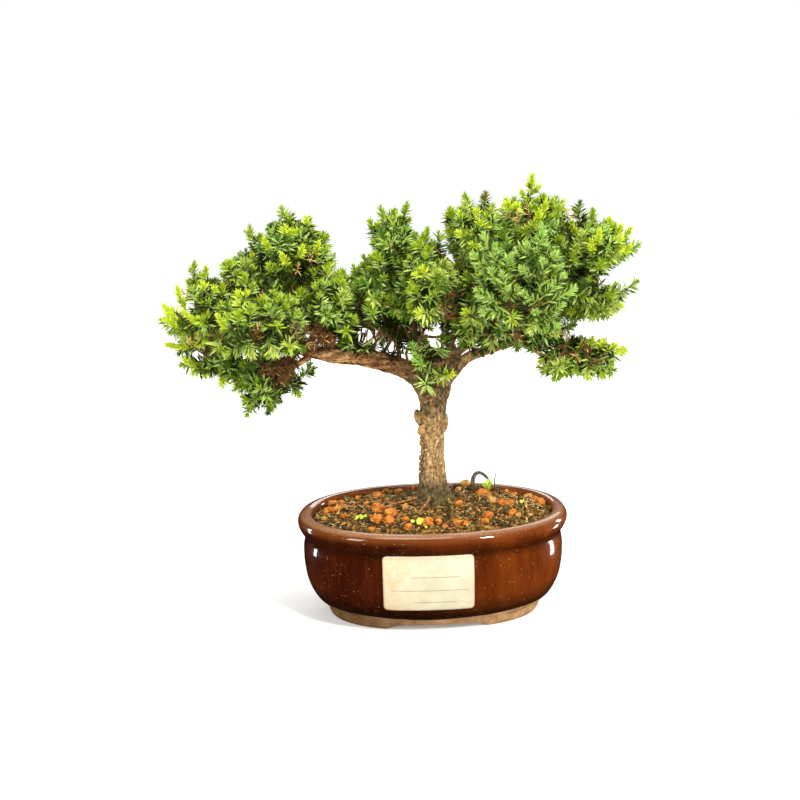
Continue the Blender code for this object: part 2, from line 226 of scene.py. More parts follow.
class Nodes:
    def __init__(self, tree):
        self.tree = tree

    def feed(self, socket, value):
        # a value is a wire, a plain value or, for a colour, a grey's number or a screen colour
        if isinstance(value, Wire):
            self.tree.links.new(value.socket, socket)
        elif socket.type == "RGBA":
            socket.default_value = linear(*value) if isinstance(value, tuple) else (value, value, value, 1.0)
        else:
            socket.default_value = value

    def add(self, kind, values=None, **settings):
        node = self.tree.nodes.new(kind)
        for name, value in settings.items():
            setattr(node, name, value)
        for name, value in (values or {}).items():
            self.feed(node.inputs[name], value)
        return node

    def wire(self, kind, output, values=None, **settings):
        # the named output of a new node
        return Wire(self, self.add(kind, values, **settings).outputs[output])

    def ramp(self, source, *stops):
        node = self.add("ShaderNodeValToRGB", {"Fac": source})
        ladder = node.color_ramp.elements
        while len(ladder) < len(stops):
            ladder.new(0.5)
        for step, (place, color) in zip(ladder, stops):
            step.position = place
            step.color = linear(*color)
        return Wire(self, node.outputs["Color"])

    def mix(self, share, first, second):
        node = self.add("ShaderNodeMix", {"Factor": share}, data_type="RGBA")
        colors = [socket for socket in node.inputs if socket.type == "RGBA"]
        self.feed(colors[0], first)
        self.feed(colors[1], second)
        return Wire(self, [socket for socket in node.outputs if socket.type == "RGBA"][0])


class Wire:
    # an output of a node; each sign of arithmetic adds one maths node
    def __init__(self, nodes, socket):
        self.nodes = nodes
        self.socket = socket

    def maths(self, operation, first, second=0.0):
        return self.nodes.wire("ShaderNodeMath", 0, {0: first, 1: second}, operation=operation)

    def __add__(self, other):
        return self.maths("ADD", self, other)

    def __sub__(self, other):
        return self.maths("SUBTRACT", self, other)

    def __rsub__(self, other):
        return self.maths("SUBTRACT", other, self)

    def __mul__(self, other):
        return self.maths("MULTIPLY", self, other)

    def __lt__(self, other):
        return self.maths("LESS_THAN", self, other)

    def __abs__(self):
        return self.maths("ABSOLUTE", self)

    def largest(self, other):
        return self.maths("MAXIMUM", self, other)

    def clamped(self):
        self.socket.node.use_clamp = True
        return self


class Paint(Nodes):
    # a material in the making
    def __init__(self, name, roughness, **looks):
        self.material = bpy.data.materials.new(name)
        self.material.use_nodes = True
        super().__init__(self.material.node_tree)
        self.shader = self.tree.nodes["Principled BSDF"]
        self.look(Roughness=roughness, **looks)

    def look(self, **looks):
        for name, value in looks.items():
            self.feed(self.shader.inputs[name.replace("_", " ")], value)

    def spot(self, *scale):
        # object coordinates from the pot's middle, in millimetres times scale
        factors = [1000.0 * part for part in scale or (1, 1, 1)]
        away = [-part * factor for part, factor in zip(potMiddle, factors)]
        place = self.wire("ShaderNodeTexCoord", "Object")
        return self.wire("ShaderNodeMapping", "Vector", {"Vector": place, "Location": away, "Scale": factors},
                         vector_type="POINT")

    def axes(self):
        node = self.add("ShaderNodeSeparateXYZ", {"Vector": self.spot()})
        return [Wire(self, socket) for socket in node.outputs]

    def mottled(self, vector, patch, grain, contrast):
        node = self.add("ShaderNodeGroup", {"Vector": vector, "Patch Size": patch, "Grain Size": grain,
                                            "Contrast": contrast}, node_tree=mottle)
        return [Wire(self, socket) for socket in node.outputs]

    def speckled(self, vector, spacing, radius, share):
        return self.wire("ShaderNodeGroup", "Mask", {"Vector": vector, "Spacing": spacing, "Radius": radius,
                                                     "Share": share}, node_tree=specks)

    def relief(self, height, strength, distance):
        self.look(Normal=self.wire("ShaderNodeBump", "Normal", {
            "Strength": strength, "Distance": distance * mm, "Height": height}))


def newGroup(name, inputs, outputs):
    # inputs: the named values, of which None stands for a vector
    group = Nodes(bpy.data.node_groups.new(name, "ShaderNodeTree"))
    for socketName, value in inputs.items():
        kind = "NodeSocketVector" if value is None else "NodeSocketFloat"
        socket = group.tree.interface.new_socket(socketName, in_out="INPUT", socket_type=kind)
        if value is not None:
            socket.default_value = value
    for socketName in outputs:
        group.tree.interface.new_socket(socketName, in_out="OUTPUT", socket_type="NodeSocketFloat")
    given = {socket.name: Wire(group, socket) for socket in group.add("NodeGroupInput").outputs}
    return group, given, group.add("NodeGroupOutput")


def makeMottle():
    # cloudy patches and fine grain in one: Patches for colour, Grain for roughness and relief
    group, given, result = newGroup(
        "mottle", {"Vector": None, "Patch Size": 0.1, "Grain Size": 1.0, "Contrast": 1.0},
        ("Patches", "Grain"))
    for size, output, detail in (("Patch Size", "Patches", 4.0), ("Grain Size", "Grain", 6.0)):
        cloud = group.wire("ShaderNodeTexNoise", "Fac", {"Vector": given["Vector"], "Scale": given[size],
                                                         "Detail": detail, "Roughness": 0.62})
        spread = (cloud - 0.5) * given["Contrast"] + 0.5
        group.feed(result.inputs[output], spread.clamped())
    return group.tree


def makeSpecks():
    # scattered round specks: Mask is 1 inside a speck
    group, given, result = newGroup(
        "specks", {"Vector": None, "Spacing": 0.5, "Radius": 0.1, "Share": 0.4}, ("Mask",))
    cells = group.add("ShaderNodeTexVoronoi", {"Vector": given["Vector"], "Scale": given["Spacing"],
                                               "Randomness": 1.0})
    edge = (given["Radius"] - Wire(group, cells.outputs["Distance"])) * 30.0
    red = group.wire("ShaderNodeSeparateColor", "Red", {"Color": Wire(group, cells.outputs["Color"])})
    group.feed(result.inputs["Mask"], edge.clamped() * (red < given["Share"]))
    return group.tree


mottle = makeMottle()
specks = makeSpecks()


def plainNoisy(name, dark, light, patch, grain, roughness=0.85, bump=0.4, distance=0.3):
    paint = Paint(name, roughness)
    patches, fine = paint.mottled(paint.spot(), patch, grain, 2.2)
    paint.look(Base_Color=paint.ramp(patches, (0.2, dark), (0.8, light)))
    paint.relief(fine, bump, distance)
    return paint.material


# Camera, lights and the pale stage

camera = {"spot": (-27.98, -616.43, 264.14), "yaw": 0.01748, "pitch": -0.21700, "roll": -0.02912,
          "lens": 48.72, "sensor": 36.0, "pixels": 800.0}
stage = {"radius": 6.0, "steps": 96, "floor": 0.8, "glowFrom": 0.5, "glowTo": 2.2, "nearGlow": 0.2,
         "farGlow": 0.68, "sky": 1.0, "skyLight": 0.46, "mirrored": 0.012, "aim": (0, 0, 120)}
daylight = (1.0, 0.98, 0.95)
lamps = [
    # name, place, size, watts, colour
    ("key", (0.68, -0.95, 1.2), (0.17, 0.17), 25.0, (1.0, 0.965, 0.9)),
    ("front", (-0.1, -1.45, 0.4), (1.3, 0.8), 8.5, daylight),
    ("fill", (-0.95, -0.85, 0.75), (0.3, 0.5), 6.0, daylight),
    ("above", (-0.1, 0.0, 1.4), (0.8, 0.6), 13.5, (1.0, 0.985, 0.95)),
    ("back", (0.25, 1.1, 0.75), (0.8, 0.4), 6.0, (1.0, 0.98, 0.94)),
    ("left window", (-1.05, 0.33, 0.24), (0.14, 0.34), 3.0, daylight),
    ("right window", (0.99, 0.41, 0.26), (0.16, 0.36), 3.4, daylight),
    ("left pane", (-0.24, 0.034, 0.02), (0.026, 0.036), 0.06, daylight),
    ("right pane", (0.197, 0.006, 0.019), (0.022, 0.036), 0.05, daylight),
]


def cameraAxes():
    yaw, pitch, roll = camera["yaw"], camera["pitch"], camera["roll"]
    ahead = Vector((math.sin(yaw) * math.cos(pitch), math.cos(yaw) * math.cos(pitch), math.sin(pitch)))
    level = Vector((math.cos(yaw), -math.sin(yaw), 0.0))
    upright = level.cross(ahead)
    aside = level * math.cos(roll) + upright * math.sin(roll)
    up = upright * math.cos(roll) - level * math.sin(roll)
    return aside, up, ahead


def makeCamera():
    data = bpy.data.cameras.new("photo camera")
    data.lens = camera["lens"]
    data.sensor_width = camera["sensor"]
    item = addItem("photo camera", data)
    aside, up, ahead = cameraAxes()
    turn = Matrix((aside, up, -ahead)).transposed().to_4x4()
    item.matrix_world = Matrix.Translation(toFrame(camera["spot"])) @ turn
    bpy.context.scene.camera = item


def makeStage():
    # a wide pale disc, a little brighter to the camera so that it runs into the sky without a line
    paint = Paint("pale floor", 1.0, Specular_IOR_Level=0.0, Base_Color=stage["floor"], Emission_Color=1.0)
    path = paint.add("ShaderNodeLightPath")
    reach = paint.wire("ShaderNodeVectorMath", "Value", {0: paint.wire("ShaderNodeTexCoord", "Object")},
                       operation="LENGTH")
    fade = paint.wire("ShaderNodeMapRange", "Result", {
        "Value": reach, "From Min": stage["glowFrom"], "From Max": stage["glowTo"],
        "To Min": stage["nearGlow"], "To Max": stage["farGlow"]}, interpolation_type="SMOOTHSTEP")
    paint.look(Emission_Strength=Wire(paint, path.outputs["Is Camera Ray"]) * fade)
    dim = paint.wire("ShaderNodeEmission", 0, {"Color": stage["mirrored"]})
    blend = paint.wire("ShaderNodeMixShader", 0, {"Fac": Wire(paint, path.outputs["Is Glossy Ray"]),
                                                  1: Wire(paint, paint.shader.outputs[0]), 2: dim})
    paint.feed(paint.tree.nodes["Material Output"].inputs["Surface"], blend)
    shape = bmesh.new()
    bmesh.ops.create_circle(shape, cap_ends=True, segments=stage["steps"], radius=stage["radius"])
    mesh = meshOf(shape)
    mesh.materials.append(paint.material)
    floor = addItem("pale_floor", mesh)


def makeLights():
    target = toFrame(stage["aim"])
    for name, place, size, watts, color in lamps:
        data = bpy.data.lights.new(name, "AREA")
        data.shape = "RECTANGLE"
        data.size, data.size_y = size
        data.energy = watts
        data.color = color
        item = addItem(name, data)
        item.location = place
        item.visible_camera = False
        item.visible_glossy = name != "front"
        item.rotation_euler = (target - Vector(place)).to_track_quat("-Z", "Y").to_euler()
    world = bpy.data.worlds.new("studio")
    world.use_nodes = True
    sky = Nodes(world.node_tree)
    path = sky.add("ShaderNodeLightPath")
    away = sky.mix(Wire(sky, path.outputs["Is Glossy Ray"]), stage["skyLight"], stage["mirrored"])
    seen = sky.mix(Wire(sky, path.outputs["Is Camera Ray"]), away, stage["sky"])
    sky.feed(sky.tree.nodes["Background"].inputs["Color"], seen)
    bpy.context.scene.world = world
    bpy.context.scene.view_settings.view_transform = "Standard"


makeCamera()
makeStage()
makeLights()
print("stage, camera and lights are up")


# Pot

pot = {
    "narrower": 26.1,        # the oval's half width is this much less than its half length
    "power": 2.2, "footInner": 55.0, "steps": 160, "archWidth": 58.0, "archHeight": 2.7, "archTop": 5.0,
    "lipKnots": 6,
    "wall": [(71.2, 52.0), (70.6, 56.5), (71.2, 60.2), (72.6, 61.8), (75.2, 62.3), (78.2, 61.3),
             (79.9, 58.6), (79.4, 55.0), (77.6, 51.6), (76.2, 48.4), (77.1, 42.6), (77.2, 36.0), (76.7, 30.0),
             (75.6, 23.5), (73.4, 17.4), (70.4, 12.2), (66.6, 8.2), (65.2, 7.2), (64.4, 5.6), (63.4, 2.6),
             (62.6, 0.8)],
    "inside": [(0.0, 11.0), (60.0, 11.6), (68.5, 24.0), (71.0, 45.0)],
    "foot": [(61.8, 0.0), (55.6, 0.0), (54.9, 0.7), (54.0, 5.0), (0.0, 5.0)],
}


def ovalHalfWidth(halfLength):
    return halfLength - pot["narrower"] * min(1.0, halfLength / pot["footInner"])


def ontoOval(halfLength, angle):
    power = 2.0 / pot["power"]
    x = halfLength * math.copysign(abs(math.cos(angle)) ** power, math.cos(angle))
    y = ovalHalfWidth(halfLength) * math.copysign(abs(math.sin(angle)) ** power, math.sin(angle))
    return x, y


def ovalDepth(halfLength, x):
    share = min(abs(x) / halfLength, 1.0)
    return ovalHalfWidth(halfLength) * (1.0 - share ** pot["power"]) ** (1.0 / pot["power"])


def wallAt(height):
    ordered = sorted(pot["wall"][pot["lipKnots"]:], key=lambda point: point[1])
    for low, high in zip(ordered, ordered[1:]):
        if low[1] <= height <= high[1]:
            return low[0] + (high[0] - low[0]) * (height - low[1]) / (high[1] - low[1])
    return ordered[-1][0]


def makeGlaze():
    paint = Paint("brown glaze", 0.3, Coat_Roughness=0.05, Coat_IOR=1.5, Specular_IOR_Level=0.05)
    spot = paint.spot()
    x, y, height = paint.axes()
    patches, grain = paint.mottled(paint.spot(1, 1, 0.3), 0.06, 0.9, 2.0)
    # painted shade and light: the glaze is painted darker on the left and more amber on the right, for a
    # light falling from the right
    dark = paint.ramp(patches, (0.15, (38, 8, 0)), (0.5, (52, 13, 1)), (0.85, (68, 22, 2)))
    rightLitAmber = paint.ramp(patches, (0.15, (76, 28, 1)), (0.5, (102, 43, 3)), (0.85, (120, 56, 6)))
    glaze = paint.mix((x * 0.011 + 0.3).clamped(), dark, rightLitAmber)
    streaks = paint.wire("ShaderNodeTexNoise", "Fac", {"Vector": paint.spot(1, 1, 0.12), "Scale": 0.55,
                                                       "Detail": 3.0})
    glaze = paint.mix(((streaks - 0.5) * 1.2).clamped() * 0.3, glaze, (140, 72, 14))
    # thinned and worn on the lip, painted shade in a darker belt under the lip, and darker towards the foot
    glaze = paint.mix(((height - 56.5) * 0.2).clamped() * 0.75, glaze, (116, 62, 24))
    top = ((height - 60.6) * 0.75).clamped()
    frontward = ((30.0 - y) * 0.022).clamped()
    worn = (top * ((grain + 0.35) * frontward)).clamped()
    glaze = paint.mix(top * 0.55, glaze, (88, 46, 26))
    glaze = paint.mix((worn * 0.9).clamped(), glaze, (150, 110, 80))
    # painted shade in the groove under the overhanging lip
    glaze = paint.mix((1.0 - abs(height - 51.0) * 0.16).clamped() * 0.7, glaze, (34, 10, 0))
    glaze = paint.mix((((25.0 - height) * 0.08).clamped() * 0.85).clamped(), glaze, (24, 7, 0))
    dots = paint.speckled(spot, 0.42, 0.13, 0.3).largest(paint.speckled(spot, 0.9, 0.16, 0.18) * 0.7)
    dots = dots.largest(top * paint.speckled(spot, 0.8, 0.28, 0.4) * 0.8)
    glaze = paint.mix(dots * 0.6, glaze, (206, 150, 96))
    # bare clay below an uneven edge of glaze that rises toward the ends
    clayPatches, clayGrain = paint.mottled(spot, 0.12, 1.6, 1.6)
    clay = paint.ramp(clayPatches, (0.2, (130, 98, 66)), (0.55, (168, 133, 94)), (0.85, (194, 160, 118)))
    # painted shade: the bare clay is darker toward the left, where shadow falls
    clay = paint.mix(((10.0 - x) * 0.018).clamped() * 0.8, clay, (72, 48, 24))
    clay = paint.mix(paint.speckled(spot, 0.9, 0.12, 0.4) * 0.7, clay, (96, 70, 48))
    edge = height + abs(x) * -0.055 + patches * -1.2 - 6.9
    glazed = (edge * 3.0).clamped()
    glaze = paint.mix((1.0 - (edge * 0.7).clamped()) * 0.9, glaze, (22, 8, 2))
    paint.look(Base_Color=paint.mix(glazed, clay, glaze), Coat_Weight=glazed * (0.9 - worn * 0.6),
               Roughness=paint.mix(glazed, 0.92, paint.mix(worn, 0.3, 0.5)))
    paint.relief(clayGrain * (1.0 - glazed) + grain * 0.1, 0.5, 0.35)
    return paint.material


def makePot():
    wall = [(point.x, point.y) for point in smoothLine([(a, z, 0) for a, z in pot["wall"]], 4)]
    shape = spun(pot["inside"] + wall + pot["foot"], pot["steps"])
    for vertex in shape.verts:
        radius = math.hypot(vertex.co.x, vertex.co.y)
        x, y = ontoOval(radius, math.atan2(vertex.co.y, vertex.co.x))
        z = vertex.co.z
        if z < pot["archTop"] and abs(x) < pot["archWidth"] / 2:
            arch = pot["archHeight"] * (1 - abs(2 * x / pot["archWidth"]) ** 7)
            z = arch + z * (1 - arch / pot["archTop"])
        vertex.co = Vector((x, y, z))
    piece = finishPiece("glazed_oval_pot", meshOf(inFrame(shape)), [makeGlaze()])
    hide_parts("pot")


makePot()
print("pot turned and glazed")


# Sticker on the front of the pot: bare cream paper with faint stains and thin grey lines

sticker = {
    "left": -30.5, "width": 51.0, "low": 17.0, "high": 50.5, "corner": 2.6, "columns": 44, "rows": 30,
    "lift": 0.28, "thick": 0.16, "wrinkle": 0.22, "ruleHalf": 0.17,
    "rules": [(38.0, -16.0, 12.5), (30.0, -26.0, 17.5), (22.5, -14.0, 10.0)],   # height, from, to
}


def makePaper():
    paint = Paint("cream paper", 0.38)
    x, _, z = paint.axes()
    patches, grain = paint.mottled(paint.spot(), 0.09, 2.5, 1.8)
    paper = paint.ramp(patches, (0.2, (184, 174, 148)), (0.8, (204, 195, 168)))
    smudge, _ = paint.mottled(paint.spot(1, 1, 1.6), 0.22, 1.0, 3.0)
    stain = ((-4.0 - x) * 0.045).clamped() * (smudge * 0.7)
    paper = paint.mix(stain.clamped(), paper, (196, 166, 112))
    ruled = None
    for height, start, end in sticker["rules"]:
        line = (abs(z - height) < sticker["ruleHalf"]) * (abs(x - (start + end) / 2) < (end - start) / 2)
        ruled = line if ruled is None else ruled.largest(line)
    paint.look(Base_Color=paint.mix(ruled * 0.75, paper, (92, 90, 86)))
    paint.relief(grain, 0.15, 0.05)
    return paint.material


def makeSticker():
    width, height = sticker["width"], sticker["high"] - sticker["low"]
    shape = bmesh.new()
    bmesh.ops.create_grid(shape, x_segments=1, y_segments=1, size=0.5)
    bmesh.ops.scale(shape, vec=(width, height, 1.0), verts=shape.verts)
    bmesh.ops.bevel(shape, geom=shape.verts[:], offset=sticker["corner"], offset_type="OFFSET", segments=6,
                    profile=0.5, affect="VERTICES", material=-1)
    for axis, size, count in (((1.0, 0.0, 0.0), width, sticker["columns"]),
                              ((0.0, 1.0, 0.0), height, sticker["rows"])):
        for step in range(1, count):
            middle = Vector(axis) * (size * (step / count - 0.5))
            bmesh.ops.bisect_plane(shape, geom=shape.verts[:] + shape.edges[:] + shape.faces[:],
                                   plane_co=middle, plane_no=axis)
    for vertex in shape.verts:
        x = sticker["left"] + width / 2 + vertex.co.x
        z = sticker["low"] + height / 2 + vertex.co.y
        crease = abs(noise.noise(Vector((x * 0.11 + z * 0.07, z * 0.16 - x * 0.05, 3.1))))
        wrinkle = max(0.0, 1.0 - crease * 7.0) * smoothStep(2.0, -26.0, x)
        corner = smoothStep(9.0, 0.0, math.hypot(x - sticker["left"], z - sticker["high"]))
        depth = ovalDepth(wallAt(z), x) + sticker["lift"] + wrinkle * sticker["wrinkle"] + 0.5 * corner
        vertex.co = Vector((x, -depth, z))
    piece = finishPiece("pot_sticker", meshOf(inFrame(shape)), [makePaper()])
    thicken = piece.modifiers.new("paper", "SOLIDIFY")
    thicken.thickness = sticker["thick"] * mm
    thicken.offset = 0.0
    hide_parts("label")


makeSticker()
print("sticker laid on the pot")


# Soil with its crumbs, grit, pebbles and weeds

soil = {
    "profile": [(0.0, 68.4), (8.0, 68.0), (13.0, 67.0), (18.0, 65.9), (26.0, 64.8), (34.0, 64.0),
                (44.0, 62.4), (54.0, 60.6), (62.0, 59.3), (70.5, 58.0)],
    "trunk": (1.0, 5.0), "pullRadius": 55.0, "rings": 92, "steps": 280, "relief": 0.9, "bottom": 50.0,
    "top": 90.0,
    # across, back, radius, height
    "mounds": [(22.0, 38.0, 18.0, 6.0), (-26.0, 36.0, 30.0, 1.6), (46.0, 26.0, 18.0, 1.4),
               (-6.0, -22.0, 14.0, 0.6)],
}


def soilPlace(halfLength, angle):
    x, y = ontoOval(halfLength, angle)
    pull = 1.0 - min(1.0, halfLength / soil["pullRadius"])
    return x + soil["trunk"][0] * pull, y + soil["trunk"][1] * pull


def makeEarth():
    paint = Paint("dark soil", 0.95, Specular_IOR_Level=0.25)
    patches, grain = paint.mottled(paint.spot(), 0.16, 1.3, 2.4)
    color = paint.ramp(patches, (0.15, (34, 22, 4)), (0.45, (76, 53, 17)), (0.72, (126, 92, 38)),
                       (0.92, (178, 136, 64)))
    pale = paint.speckled(paint.spot(), 0.8, 0.14, 0.3)
    paint.look(Base_Color=paint.mix(pale * 0.6, color, (150, 122, 84)))
    paint.relief(grain, 0.9, 0.6)
    return paint.material


def soilRise(x, y):
    spot = Vector((x, y, 0.0))
    rise = (noise.noise(spot * 0.12) * 1.1 + noise.noise(spot * 0.33 + Vector((7, 0, 0))) * 0.75
            + abs(noise.noise(spot * 0.8)) * 0.9 + noise.noise(spot * 1.9) * 0.35 - 0.35) * soil["relief"]
    for across, back, reach, height in soil["mounds"]:
        rise += height * smoothStep(reach, 0.0, math.hypot(x - across, y - back))
    return rise


def makeSoil():
    knots = smoothLine([(a, z, 0) for a, z in soil["profile"]], 12)
    across = np.arange(soil["rings"] + 1) * (knots[-1].x / soil["rings"])
    heights = np.interp(across, [knot.x for knot in knots], [knot.y for knot in knots])
    profile = list(zip(across.tolist(), heights.tolist()))
    shape = spun(profile + [(profile[-1][0], soil["bottom"]), (0.0, soil["bottom"])], soil["steps"])
    for vertex in shape.verts:
        x, y = soilPlace(math.hypot(vertex.co.x, vertex.co.y), math.atan2(vertex.co.y, vertex.co.x))
        rise = soilRise(x, y) if vertex.co.z > soil["bottom"] + 1 else 0.0
        vertex.co = Vector((x, y, vertex.co.z + rise))
    piece = finishPiece("potting_soil", meshOf(inFrame(shape)), [makeEarth()])
    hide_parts("soil")
    return BVHTree.FromObject(piece, bpy.context.evaluated_depsgraph_get())


bpy.context.view_layer.update()
soilTree = makeSoil()


def groundAt(x, y):
    hit = soilTree.ray_cast(toFrame((x, y, soil["top"])), Vector((0, 0, -1)))[0]
    return (hit.z - potMiddle.z) / mm if hit else soil["profile"][-1][1]


def soilSpot(rng, reach):
    # anywhere on the soil, evenly
    halfLength = reach * math.sqrt(rng.random())
    return soilPlace(halfLength, rng.uniform(0, 2 * math.pi))


def stone(subdivisions, roughness, seed):
    # an uneven pebble about 1 across
    shape = bmesh.new()
    bmesh.ops.create_icosphere(shape, subdivisions=subdivisions, radius=0.5)
    shift = Vector((seed * 3.7, seed * 1.3, seed * 2.1))
    for vertex in shape.verts:
        spot = vertex.co.normalized()
        bulge = (noise.noise(spot * 1.3 + shift) + 0.5 * noise.noise(spot * 3.1 + shift)
                 + 0.16 * noise.noise(spot * 9.0 + shift)) * roughness
        vertex.co *= 1.0 + bulge
    return meshOf(shape)


crumbs = {
    "seed": 5, "reach": 70.0, "roughness": 0.55,
    # name, how many, smallest, largest, dark colour, light colour
    "kinds": [("soil_clods", 80, 2.4, 5.0, (44, 31, 9), (126, 94, 40)),
              ("soil_crumbs_dark", 1900, 0.8, 3.4, (32, 20, 4), (94, 67, 24)),
              ("soil_crumbs_brown", 1700, 0.7, 2.8, (104, 73, 24), (180, 134, 60)),
              ("soil_crumbs_rust", 260, 0.7, 2.2, (150, 84, 30), (214, 138, 68)),
              ("soil_grit_pale", 620, 0.4, 1.3, (186, 158, 106), (240, 222, 172)),
              ("soil_moss", 700, 0.6, 2.0, (84, 86, 26), (150, 150, 64))],
}


def scatterCrumbs():
    rng = random.Random(crumbs["seed"])
    for number, (name, count, small, large, dark, light) in enumerate(crumbs["kinds"]):
        template = stone(2 if number == 0 else 1, crumbs["roughness"], number)
        turns, places = [], []
        for _ in range(count):
            x, y = soilSpot(rng, crumbs["reach"])
            size = small + (large - small) * rng.random() ** 2.2
            squash = Matrix.Diagonal((size, size * rng.uniform(0.7, 1.0), size * rng.uniform(0.55, 0.9)))
            turn = Matrix.Rotation(rng.uniform(0, 2 * math.pi), 3, "Z")
            tilt = Matrix.Rotation(rng.uniform(0, math.pi), 3, "X")
            turns.append(np.array(squash @ (turn @ tilt)))
            places.append((x, y, groundAt(x, y) + size * rng.uniform(-0.05, 0.3)))
        material = plainNoisy(name.replace("_", " "), dark, light, 0.5, 2.0, 0.95)
        finishPiece(name, copies(template, turns, places), [material], smooth=False)


scatterCrumbs()

pebbles = {
    # middle across and back, width, height, turn
    "orange": [(-60, 24, 6, 3.6, 20), (-55, 21, 5.5, 3.4, 70), (-62, 7, 7, 4.4, 10), (-57, 5, 6, 4.0, 50),
        (-54, 8, 5, 4, 0), (-52, -10, 4.4, 3.2, 0), (-39, 7, 4.2, 3, 30), (-26, 44, 7, 3.8, 0),
        (-32, 20, 5.6, 4.2, 15), (-32, -7, 7.4, 5.6, 20), (-25, -16.5, 8.4, 6.6, 60),
        (-26, -24, 6.8, 6, 100), (-33, -20.5, 7.2, 5.8, 40), (-16.5, -23, 4.6, 3.8, 0),
        (-15, -31, 5.8, 4.6, 33), (-4.5, -28, 7.4, 6, 0), (2.5, -26, 4.4, 3.6, 80), (6, -31, 4, 3, 0),
        (15.5, -7, 4.4, 4.2, 20), (13, -28, 4.6, 3.4, 10), (18, -27.5, 4.4, 3.2, 60),
        (31.5, -20, 6, 4.4, 15), (29, -26, 4.6, 3.6, 0), (32.5, 17, 8, 5.4, 25), (41.5, -1.5, 5.6, 4.8, 0),
        (46.5, -1, 5.6, 4.6, 50), (-10, 47, 5.4, 4.4, 0), (-19, 36, 5, 3.4, 45), (46, -15, 5.4, 4.6, 20),
        (64, 20, 5, 4, 0), (66, 9, 7, 5, 80), (-44, 30, 4.4, 3.2, 0), (52, 24, 5.4, 3, 30),
        (5, 44, 5, 3.6, 0), (48, 30, 4.2, 3.2, 70), (-36, -30, 4, 3, 10)],
    "yellow": [(36, -0.5, 5.4, 6.0, 0), (61, 22.5, 6, 4.2, 30), (67, 14, 5, 4, 0),
        (23, 35.5, 6.2, 4.4, 20), (-16, -9, 3.6, 4.8, 0), (49.5, -18, 4.2, 3.6, 60), (18, 30, 4, 3, 0),
        (-48, 18, 3.6, 2.6, 0), (30, -32, 3.2, 2.4, 0), (-64, -6, 4, 2.8, 20), (57, -14, 3.4, 2.6, 0)],
}


def layPebbles():
    finishes = {
        "orange": plainNoisy("fired clay pebble", (148, 74, 12), (232, 146, 52), 0.5, 2.4, 0.9, 0.6, 0.4),
        "yellow": plainNoisy("tan pebble", (150, 100, 40), (232, 180, 98), 0.7, 2.2, 0.9, 0.6, 0.4),
    }
    rng = random.Random(11)
    for kind, rows in pebbles.items():
        shape = bmesh.new()
        for number, (x, y, width, height, turn) in enumerate(rows):
            size = Matrix.Diagonal((width, width * rng.uniform(0.75, 0.95), height))
            place = Vector((x, y, groundAt(x, y) + height * 0.26))
            tilt = Matrix.Rotation(rng.uniform(-0.3, 0.3), 3, "X")
            spin = Matrix.Rotation(math.radians(turn), 3, "Z") @ tilt
            stamp(shape, stone(4, 0.42, number + len(kind)), size, spin, place)
        finishPiece("clay_pebbles_" + kind, meshOf(inFrame(shape)), [finishes[kind]])


layPebbles()

litter = {
    "seed": 31, "straws": 300, "heaped": 60, "heap": (59.0, 9.0, 8.0), "reach": 69.0, "shortest": 2.2,
    "longest": 7.5, "width": 0.75,
    # root ends and thickness; the weed's blades: foot, length, width, count; the dried leaf's curl
    "roots": [([(-9, -1, 69), (-16, -3, 67.5), (-24, -4, 66), (-31, -8, 64.6), (-36, -10, 63.6)], 0.75, 0.4),
              ([(-24, -4, 66), (-25, -9, 65.2), (-22, -14, 64.4)], 0.5, 0.3),
              ([(-1, -4, 69.5), (-4, -10, 67.5), (-7, -15, 66), (-9, -19, 64.6)], 0.9, 0.5),
              ([(-30, 8, 65.5), (-40, 4, 63.8), (-50, -8, 61.4)], 0.6, 0.3),
              ([(30, 10, 66), (40, 6, 64), (52, 2, 61.6)], 0.5, 0.3)],
    "dried": [([(28, 36, 62), (27.6, 36, 67), (29.6, 36, 71.4), (33, 36, 71.6), (36.4, 35, 69),
                (38.4, 34, 65)], 1.6, 0.8),
              ([(41.6, 34, 62), (41.2, 34, 67), (42.2, 34, 72.4)], 0.5, 0.25)],
    "weed": ((36.0, 27.6, 61.8), 10.6, 2.0, 11),
    "leaflets": [(-44.2, -15.5, 2.6), (-41.6, -16.6, 2.8), (-42.4, -13.4, 2.6), (-39.6, -14.6, 2.4),
                 (-45.4, -17.4, 2.0), (-8.6, -29.6, 4.6), (-12.4, -25.6, 2.8), (54.0, 4.0, 2.6),
                 (-5.0, -31.6, 1.8)],
}


def layStalks(name, rows, material):
    lines = [(smoothLine(points, 6), np.linspace(first, last, 6 * (len(points) - 1) + 1).tolist())
             for points, first, last in rows]
    finishPiece(name, tubes(name, lines, 2), [material])


def layStraws(rng, blade):
    turns, places = [], []
    across, back, reach = litter["heap"]
    for number in range(litter["straws"]):
        if number < litter["heaped"]:
            x, y = across + rng.gauss(0, reach * 0.45), back + rng.gauss(0, reach * 0.8)
        else:
            x, y = soilSpot(rng, litter["reach"])
        length = rng.uniform(litter["shortest"], litter["longest"])
        turn = rng.uniform(0, 2 * math.pi)
        way = Vector((math.cos(turn), math.sin(turn), rng.uniform(-0.15, 0.3))).normalized()
        places.append((x, y, groundAt(x, y) + rng.uniform(0.3, 0.9)))
        turns.append(frameAlong(way, Vector((0, 0, 1)), length, litter["width"]))
    straw = plainNoisy("straw bits", (176, 132, 62), (244, 210, 140), 0.3, 1.5, 0.9)
    finishPiece("soil_straw", copies(blade, turns, places), [straw, straw], smooth=False)


